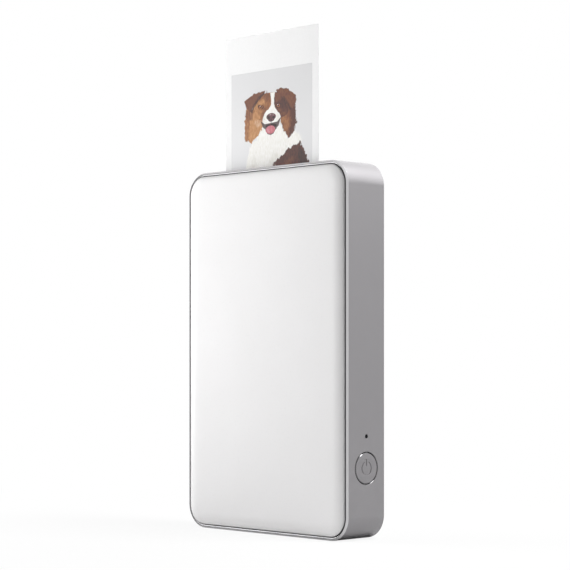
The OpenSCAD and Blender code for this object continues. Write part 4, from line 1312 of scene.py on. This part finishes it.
@dataclass
class ButtonAndLight:
    """The round power button with its engraved mark, and the status light above it."""

    face_x: float = 42.7 * MM
    at_z: float = 25.9 * MM
    radius: float = 5.6 * MM
    edge: float = 0.25 * MM
    engraving: float = 0.17 * MM
    plate_soft: float = 0.03 * MM
    mark_r: float = 2.4 * MM
    mark_w: float = 0.42 * MM
    mark_open: float = math.radians(30)
    bar: tuple[float, float] = (0.9 * MM, 3.1 * MM)
    stem_r: float = 1.5 * MM
    stem_soft: float = 0.15 * MM
    stem_taper: float = 0.9
    flange_r: float = 6.3 * MM
    flange_x: tuple[float, float] = (41.0 * MM, 41.55 * MM)
    rim_steps: int = 128
    arc_steps: int = 48
    end_steps: int = 8

    def build(self, shop: Workshop) -> None:
        """Make the button and dress the light.

        Args:
            shop: the workshop.
        """
        shop.piece("button_cap", self._cap(), "button_silver", "button", ["power_button"])
        shop.piece("button_face", self._face(), "button_silver", "button")
        shop.dress("light_guide", Rounding.TURNED, "light_pipe")

    def _turned(self, name: str, profile: Iterable[Point2], steps: int = 96) -> bpy.types.Mesh:
        """Turn a profile about the button's axis.

        Args:
            name: the mesh's name.
            profile: X and radius of each ring.
            steps: points in a ring.

        Returns:
            The mesh.
        """
        turns = [2 * math.pi * i / steps for i in range(steps)]
        rings = [
            [(x, y, z) for y, z in arc_points((0.0, self.at_z), radius, turns)] for x, radius in profile
        ]
        return skin(name, rings, TURNED_ANGLE)

    def _cap(self) -> bpy.types.Mesh:
        """The cap with its flange and stem, up to the floor of the engraving.

        Returns:
            The mesh.
        """
        floor = self.face_x - self.engraving
        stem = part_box("power_button")[0][0]
        back, front = self.flange_x
        profile = [
            (stem, self.stem_r * self.stem_taper),
            (stem + self.stem_soft, self.stem_r),
            (back, self.stem_r),
            (back, self.flange_r),
            (front, self.flange_r),
            (front, self.radius),
            (self.face_x - self.edge, self.radius),
            (floor, self.radius - self.edge + self.engraving),
            (floor, self.radius * 0.5),
        ]
        return self._turned("button_cap", profile)

    def _face(self) -> bpy.types.Mesh:
        """The cap's face plate, with the mark cut through it and its rim rounded over.

        Returns:
            The mesh.
        """
        curve = bpy.data.curves.new("button_face", "CURVE")
        curve.dimensions, curve.fill_mode = "2D", "BOTH"
        soft = self.plate_soft
        curve.extrude, curve.bevel_depth, curve.bevel_resolution = self.engraving / 2 - soft, soft, 2
        reach = self.radius - self.edge + self.engraving - soft
        turns = [2 * math.pi * i / self.rim_steps for i in range(self.rim_steps)]
        self._outline(curve, arc_points((0.0, 0.0), reach, turns))
        self._outline(curve, self._arc())
        self._outline(curve, self._bar())
        holder = bpy.data.objects.new("button_face_curve", curve)
        bpy.context.scene.collection.objects.link(holder)
        depsgraph = bpy.context.evaluated_depsgraph_get()
        mesh = bpy.data.meshes.new_from_object(holder.evaluated_get(depsgraph))
        bpy.data.objects.remove(holder)
        bm = bmesh.new()
        bm.from_mesh(mesh)
        bmesh.ops.remove_doubles(bm, verts=bm.verts, dist=SEAM_REACH)
        near_rim = self.radius * 0.8
        middle_x = self.face_x - self.engraving / 2
        for vert in bm.verts:
            side, up, out = vert.co
            lean = 1.0
            if math.hypot(side, up) > near_rim:
                # The plate's rim leans in as far as it rises, in line with the cap's chamfer.
                lean -= (out + self.engraving / 2) / self.radius
            vert.co = Vector((middle_x + out, side * lean, self.at_z + up * lean))
        close(bm, mesh, TURNED_ANGLE)
        return mesh

    @staticmethod
    def _outline(curve: bpy.types.Curve, points: Sequence[Point2]) -> None:
        """Add a closed outline to the flat curve.

        Args:
            curve: the curve.
            points: the outline's corners.
        """
        spline = curve.splines.new("POLY")
        spline.points.add(len(points) - 1)
        for spot, (x, y) in zip(spline.points, points):
            spot.co = (x, y, 0.0, 1.0)
        spline.use_cyclic_u = True

    def _arc(self) -> list[Point2]:
        """The open ring of the mark, with round ends.

        Returns:
            Its outline.
        """
        start, stop = math.pi / 2 + self.mark_open, math.pi / 2 - self.mark_open + 2 * math.pi
        half = self.mark_w / 2
        sweep = [start + (stop - start) * i / self.arc_steps for i in range(self.arc_steps + 1)]
        outer = arc_points((0.0, 0.0), self.mark_r + half, sweep)
        inner = arc_points((0.0, 0.0), self.mark_r - half, reversed(sweep))
        return outer + self._round_end(stop, 1) + inner + self._round_end(start, -1)

    def _round_end(self, at: float, way: int) -> list[Point2]:
        """A half circle on an end of the ring.

        Args:
            at: the angle of the end.
            way: 1 at the sweep's end and -1 at its start.

        Returns:
            Its inner points.
        """
        centre = (self.mark_r * math.cos(at), self.mark_r * math.sin(at))
        first = at if way > 0 else at + math.pi
        turns = [first + math.pi * i / self.end_steps for i in range(1, self.end_steps)]
        return arc_points(centre, self.mark_w / 2, turns)

    def _bar(self) -> list[Point2]:
        """The upright bar of the mark, with round ends.

        Returns:
            Its outline.
        """
        half, (low, high) = self.mark_w / 2, self.bar
        turns = [math.pi * i / self.end_steps for i in range(self.end_steps + 1)]
        top = arc_points((0.0, high), half, turns)
        foot = arc_points((0.0, low), half, [math.pi + turn for turn in turns])
        return top + foot


@dataclass
class PaperPath:
    """The print on its way out and the blank sheets in the tray."""

    sheet_soft: float = 0.04 * MM

    def build(self, shop: Workshop) -> None:
        """Make the print and dress the paper and its guides.

        Args:
            shop: the workshop.
        """
        low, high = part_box("print_sheet")
        shop.stock("print_face", PrintedPaper("photo_print", left=low[0], top=high[2]).make())
        shop.piece("photo_print", self._sheet(low, high), "paper", "print", ["print_sheet"], "print_face")
        shop.dress("paper", Rounding.SHARP, "paper_stack")
        shop.dress("pad_rubber", Rounding.MOULD, "separation_pad")
        shop.dress("black_plastic", Rounding.STAMPED, "exit_guide", "paper_guide")
        shop.dress("sheet_steel", Rounding.STAMPED, "press_plate")

    def _sheet(self, low: Sequence[float], high: Sequence[float]) -> bpy.types.Mesh:
        """A cut sheet whose edges are just broken.

        Args:
            low: its lowest corner.
            high: its highest corner.

        Returns:
            The mesh.
        """
        mesh, bm = bpy.data.meshes.new("photo_print"), bmesh.new()
        bmesh.ops.create_cube(bm, size=1.0)
        for vert in bm.verts:
            vert.co = Vector([low[i] if vert.co[i] < 0 else high[i] for i in range(3)])
        bmesh.ops.bevel(bm, geom=bm.edges[:], offset=self.sheet_soft, segments=2, affect="EDGES")
        close(bm, mesh, TURNED_ANGLE)
        return mesh


# ---- Inside --------------------------------------------------------------------------------------


@dataclass
class Chassis:
    """The moulded frame that everything inside is fixed to."""

    def build(self, shop: Workshop) -> None:
        """Dress the chassis.

        Args:
            shop: the workshop.
        """
        shop.dress("black_plastic", Rounding.STAMPED, "chassis")


@dataclass
class PrintEngine:
    """The steel frame with its rollers, gears, motor and thermal head."""

    def build(self, shop: Workshop) -> None:
        """Dress the engine.

        Args:
            shop: the workshop.
        """
        shop.dress("sheet_steel", Rounding.STAMPED, "engine_frame")
        shop.dress("dark_steel", Rounding.STAMPED, "engine_cover")
        shop.dress("bright_steel", Rounding.TURNED, "engine_cover_screws", "engine_screws", "board_screws")
        shop.dress("bright_steel", Rounding.TURNED, "gear_studs", "head_pin")
        shop.dress("bright_steel", Rounding.TURNED, "platen_shaft", "pick_shaft", "motor_shaft")
        shop.dress("bright_steel", Rounding.SHARP, "head_springs")
        shop.dress("brass", Rounding.STAMPED, "bushings", "stud_clips", "motor_pinion")
        shop.dress("roller_rubber", Rounding.TURNED, "platen_roller", "pick_roller")
        shop.dress("gear_plastic", Rounding.STAMPED, "platen_gear", "pick_gear", "upper_idler", "lower_idler")
        shop.dress("nickel", Rounding.TURNED, "motor")
        shop.dress("sink_aluminium", Rounding.STAMPED, "head_heatsink")
        shop.dress("head_ceramic", Rounding.STAMPED, "head_ceramic")
        shop.dress("cable_amber", Rounding.SHARP, "head_cable")
        shop.dress("lead_red", Rounding.SHARP, "motor_leads")


@dataclass
class Electronics:
    """The boards, the battery and the sockets."""

    def build(self, shop: Workshop) -> None:
        """Dress the electronics.

        Args:
            shop: the workshop.
        """
        shop.dress("board_green", Rounding.STAMPED, "main_board", "side_board")
        shop.dress("chip_black", Rounding.TURNED, "board_chips", "reset_switch")
        shop.dress("nickel", Rounding.TURNED, "shield_can", "button_switch", "usb_socket")
        shop.dress("connector_ivory", Rounding.TURNED, "board_connectors")
        shop.dress("cell_foil", Rounding.SOFT, "battery")
        shop.dress("lead_red", Rounding.SHARP, "battery_lead")
        shop.dress("led_lens", Rounding.TURNED, "status_led")


# ---- The studio ----------------------------------------------------------------------------------


@dataclass(frozen=True)
class Lamp:
    """A soft lamp that points at the printer's middle."""

    name: str
    at: Point3
    width: float
    height: float
    power: float
    aim: Point3 = (0.0, 0.0, 0.07)

    def hang(self) -> None:
        """Put the lamp in the scene."""
        data = bpy.data.lights.new(self.name, "AREA")
        data.shape, data.size, data.size_y, data.energy = "RECTANGLE", self.width, self.height, self.power
        lamp = bpy.data.objects.new(self.name, data)
        lamp.location = self.at
        lamp.rotation_euler = (Vector(self.aim) - Vector(self.at)).to_track_quat("-Z", "Y").to_euler()
        bpy.context.scene.collection.objects.link(lamp)


@dataclass
class Studio:
    """The pale floor, the lamps, the white surroundings and the camera."""

    camera_at: Point3 = (0.4856, -0.4696, 0.068)
    camera_to: Point3 = (-0.7182, 0.6958, 0.0)
    lens: float = 114.1
    sensor_w: float = 36.0
    shift_y: float = 0.1147
    clip: tuple[float, float] = (0.01, 20.0)
    floor_half: float = 1.6
    floor_show: float = 0.12
    shadow_r: tuple[float, float] = (0.07, 0.24)
    surround: float = 0.2
    paper: Colour = (0.9, 0.9, 0.9)
    white: Colour = (1.0, 1.0, 1.0)
    lamps: tuple[Lamp, ...] = (
        Lamp("key", (-0.47, -0.28, 0.155), 0.42, 0.42, 3.7),
        Lamp("back", (0.05, 0.42, 0.4), 0.9, 0.35, 1.3),
        Lamp("side", (0.42, 0.24, 0.37), 0.3, 0.3, 0.26),
        Lamp("top", (0.25, 0.09, 0.468), 0.18, 0.18, 1.5),
    )

    def build(self) -> None:
        """Set up the camera, the floor and the light."""
        self._camera()
        self._floor()
        self._world()
        for lamp in self.lamps:
            lamp.hang()

    def _camera(self) -> None:
        """Make the camera."""
        data = bpy.data.cameras.new("camera")
        data.lens, data.sensor_width, data.sensor_fit = self.lens, self.sensor_w, "HORIZONTAL"
        data.shift_y = self.shift_y
        data.clip_start, data.clip_end = self.clip
        camera = bpy.data.objects.new("camera", data)
        camera.location = self.camera_at
        camera.rotation_euler = Vector(self.camera_to).to_track_quat("-Z", "Y").to_euler()
        bpy.context.scene.collection.objects.link(camera)
        bpy.context.scene.camera = camera

    def _seen(self, g: NodeGraph, camera_share: Number = 1.0, gloss_share: Number = 1.0) -> Signal:
        """Where a ray comes from the camera, a reflection or a clear part.

        Args:
            g: the graph.
            camera_share: the value on the camera's own rays.
            gloss_share: the value on reflected rays.

        Returns:
            1 through a clear part, and those shares on the camera's and reflected rays.
        """
        path = g.add("ShaderNodeLightPath", None, None, "Is Camera Ray")
        outputs = path.socket.node.outputs
        gloss = Signal(g, outputs["Is Glossy Ray"]) * gloss_share
        return (path * camera_share).most(gloss).most(Signal(g, outputs["Is Transmission Ray"]))

    def _floor(self) -> None:
        """Make the floor, which shows white and keeps a faint shadow."""
        mesh, bm = bpy.data.meshes.new("floor"), bmesh.new()
        bmesh.ops.create_grid(bm, x_segments=8, y_segments=8, size=self.floor_half)
        bm.to_mesh(mesh)
        bm.free()
        floor = bpy.data.objects.new("floor", mesh)
        bpy.context.scene.collection.objects.link(floor)
        g = Finish("studio_floor")
        paper = g.add("ShaderNodeBsdfDiffuse", None, {"Color": self.paper})
        glow = g.add("ShaderNodeEmission", None, {"Color": self.white, "Strength": 1.0})
        x, y, _ = g.axes()
        far = (x * x + y * y).root().step(*self.shadow_r)
        share = self._seen(g, 1 - (1 - far) * self.floor_show, far)
        both = g.add("ShaderNodeMixShader", None, {0: share, 1: paper, 2: glow})
        g.add("ShaderNodeOutputMaterial", None, {"Surface": both})
        mesh.materials.append(g.material)

    def _world(self) -> None:
        """White where it is seen, softer as a light."""
        world = bpy.data.worlds.new("studio")
        world.use_nodes = True
        world.node_tree.nodes.clear()
        bpy.context.scene.world = world
        g = NodeGraph(world.node_tree)
        strength = self.surround + self._seen(g) * (1 - self.surround)
        light = g.add("ShaderNodeBackground", None, {"Color": self.white, "Strength": strength})
        g.add("ShaderNodeOutputWorld", None, {"Surface": light})


def stock_finishes(shop: Workshop) -> None:
    """Make every finish, each under its slot's name.

    Args:
        shop: the workshop.
    """
    bar_low, bar_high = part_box("head_ceramic")
    finishes = {
        # The white cover's colour turns dark down in the seam: painted shade for the seam's shadow.
        "cover_white": Moulded(
            "satin_white", (0.715, 0.708, 0.711), roughness=0.42, cloud=0.006, grain=3200.0,
            depth=2.5e-6, seam_shade_y=9.64 * MM,
        ),
        "band_silver": Blasted(
            "blasted_silver", (0.3, 0.292, 0.302), ring_r=(5.7 * MM, 6.0 * MM), rim_y=9.2 * MM,
            flat_y=9.86 * MM,
        ),
        "button_silver": Blasted(
            "blasted_button", (0.282, 0.274, 0.284), ring_r=(5.34 * MM, 5.7 * MM), roughness=0.4
        ),
        "black_plastic": Moulded("black_moulding", (0.028, 0.028, 0.03), roughness=0.5, cloud=0.12),
        "liner_grey": Moulded(
            "grey_moulding", (0.06, 0.062, 0.066), roughness=0.55, cloud=0.1, grain=1800.0, depth=1.2e-5
        ),
        "bright_steel": Metal("bright_steel", (0.62, 0.62, 0.63), roughness=0.24),
        "sheet_steel": Galvanised("zinc_sheet", (0.6, 0.61, 0.62)),
        "dark_steel": Metal(
            "black_oxide_sheet", (0.11, 0.115, 0.125), roughness=0.42, grain=Grain.ALONG_Z,
            fineness=2600.0, stain=0.25,
        ),
        "nickel": Metal(
            "nickel_plate", (0.66, 0.64, 0.6), roughness=0.26, grain=Grain.NO_WAY, fineness=2400.0, stain=0.1
        ),
        "brass": Metal(
            "brass", (0.72, 0.53, 0.24), roughness=0.28, grain=Grain.NO_WAY, fineness=3200.0, stain=0.18
        ),
        "roller_rubber": Rubber("roller_rubber", (0.035, 0.035, 0.038)),
        "pad_rubber": Rubber("cork_rubber", (0.19, 0.1, 0.05), dust=0.15),
        "gear_plastic": Moulded(
            "acetal", (0.72, 0.69, 0.6), roughness=0.38, cloud=0.05, grain=1500.0, depth=4e-6
        ),
        "sink_aluminium": Metal(
            "extruded_aluminium", (0.64, 0.65, 0.66), roughness=0.34, grain=Grain.ALONG_X,
            fineness=3000.0, stain=0.1,
        ),
        "head_ceramic": GlazedBar("heater_bar", (0.75, 0.73, 0.68), line_z=(bar_low[2] + bar_high[2]) / 2),
        "paper": Paper("blank_paper"),
        "board_green": Circuit("circuit_board"),
        "chip_black": Moulded(
            "chip_resin", (0.03, 0.03, 0.032), roughness=0.52, cloud=0.1, grain=4200.0, depth=6e-6
        ),
        "connector_ivory": Moulded("ivory_nylon", (0.7, 0.64, 0.5), roughness=0.42, cloud=0.06),
        "light_guide": Smoked("smoked_guide", (0.004, 0.004, 0.005), roughness=0.3, shine=0.08),
        "lead_red": Moulded(
            "lead_insulation", (0.42, 0.03, 0.025), roughness=0.4, cloud=0.08, grain=1600.0, depth=8e-6
        ),
        "cable_amber": Moulded(
            "polyimide_tape", (0.42, 0.19, 0.03), roughness=0.3, cloud=0.1, grain=1200.0, depth=6e-6,
            coat=0.3,
        ),
        "cell_foil": Foil("pouch_foil"),
        "led_lens": Smoked("led_lens", (0.5, 0.46, 0.3), roughness=0.2),
    }
    for slot, finish in finishes.items():
        shop.stock(slot, finish.make())


def main() -> None:
    """Build the printer and its studio, and log what was made."""
    logging.basicConfig(level=logging.INFO, format="%(name)s: %(message)s")
    bpy.context.scene.view_settings.view_transform = "Standard"
    shop = Workshop()
    Studio().build()
    stock_finishes(shop)
    for assembly in (Casing(), ButtonAndLight(), PaperPath(), Chassis(), PrintEngine(), Electronics()):
        assembly.build(shop)
        log.info("%s is built", type(assembly).__name__)
    log.info("%d pieces made or dressed", shop.made)
    bpy.context.view_layer.update()


if __name__ == "__main__":
    main()
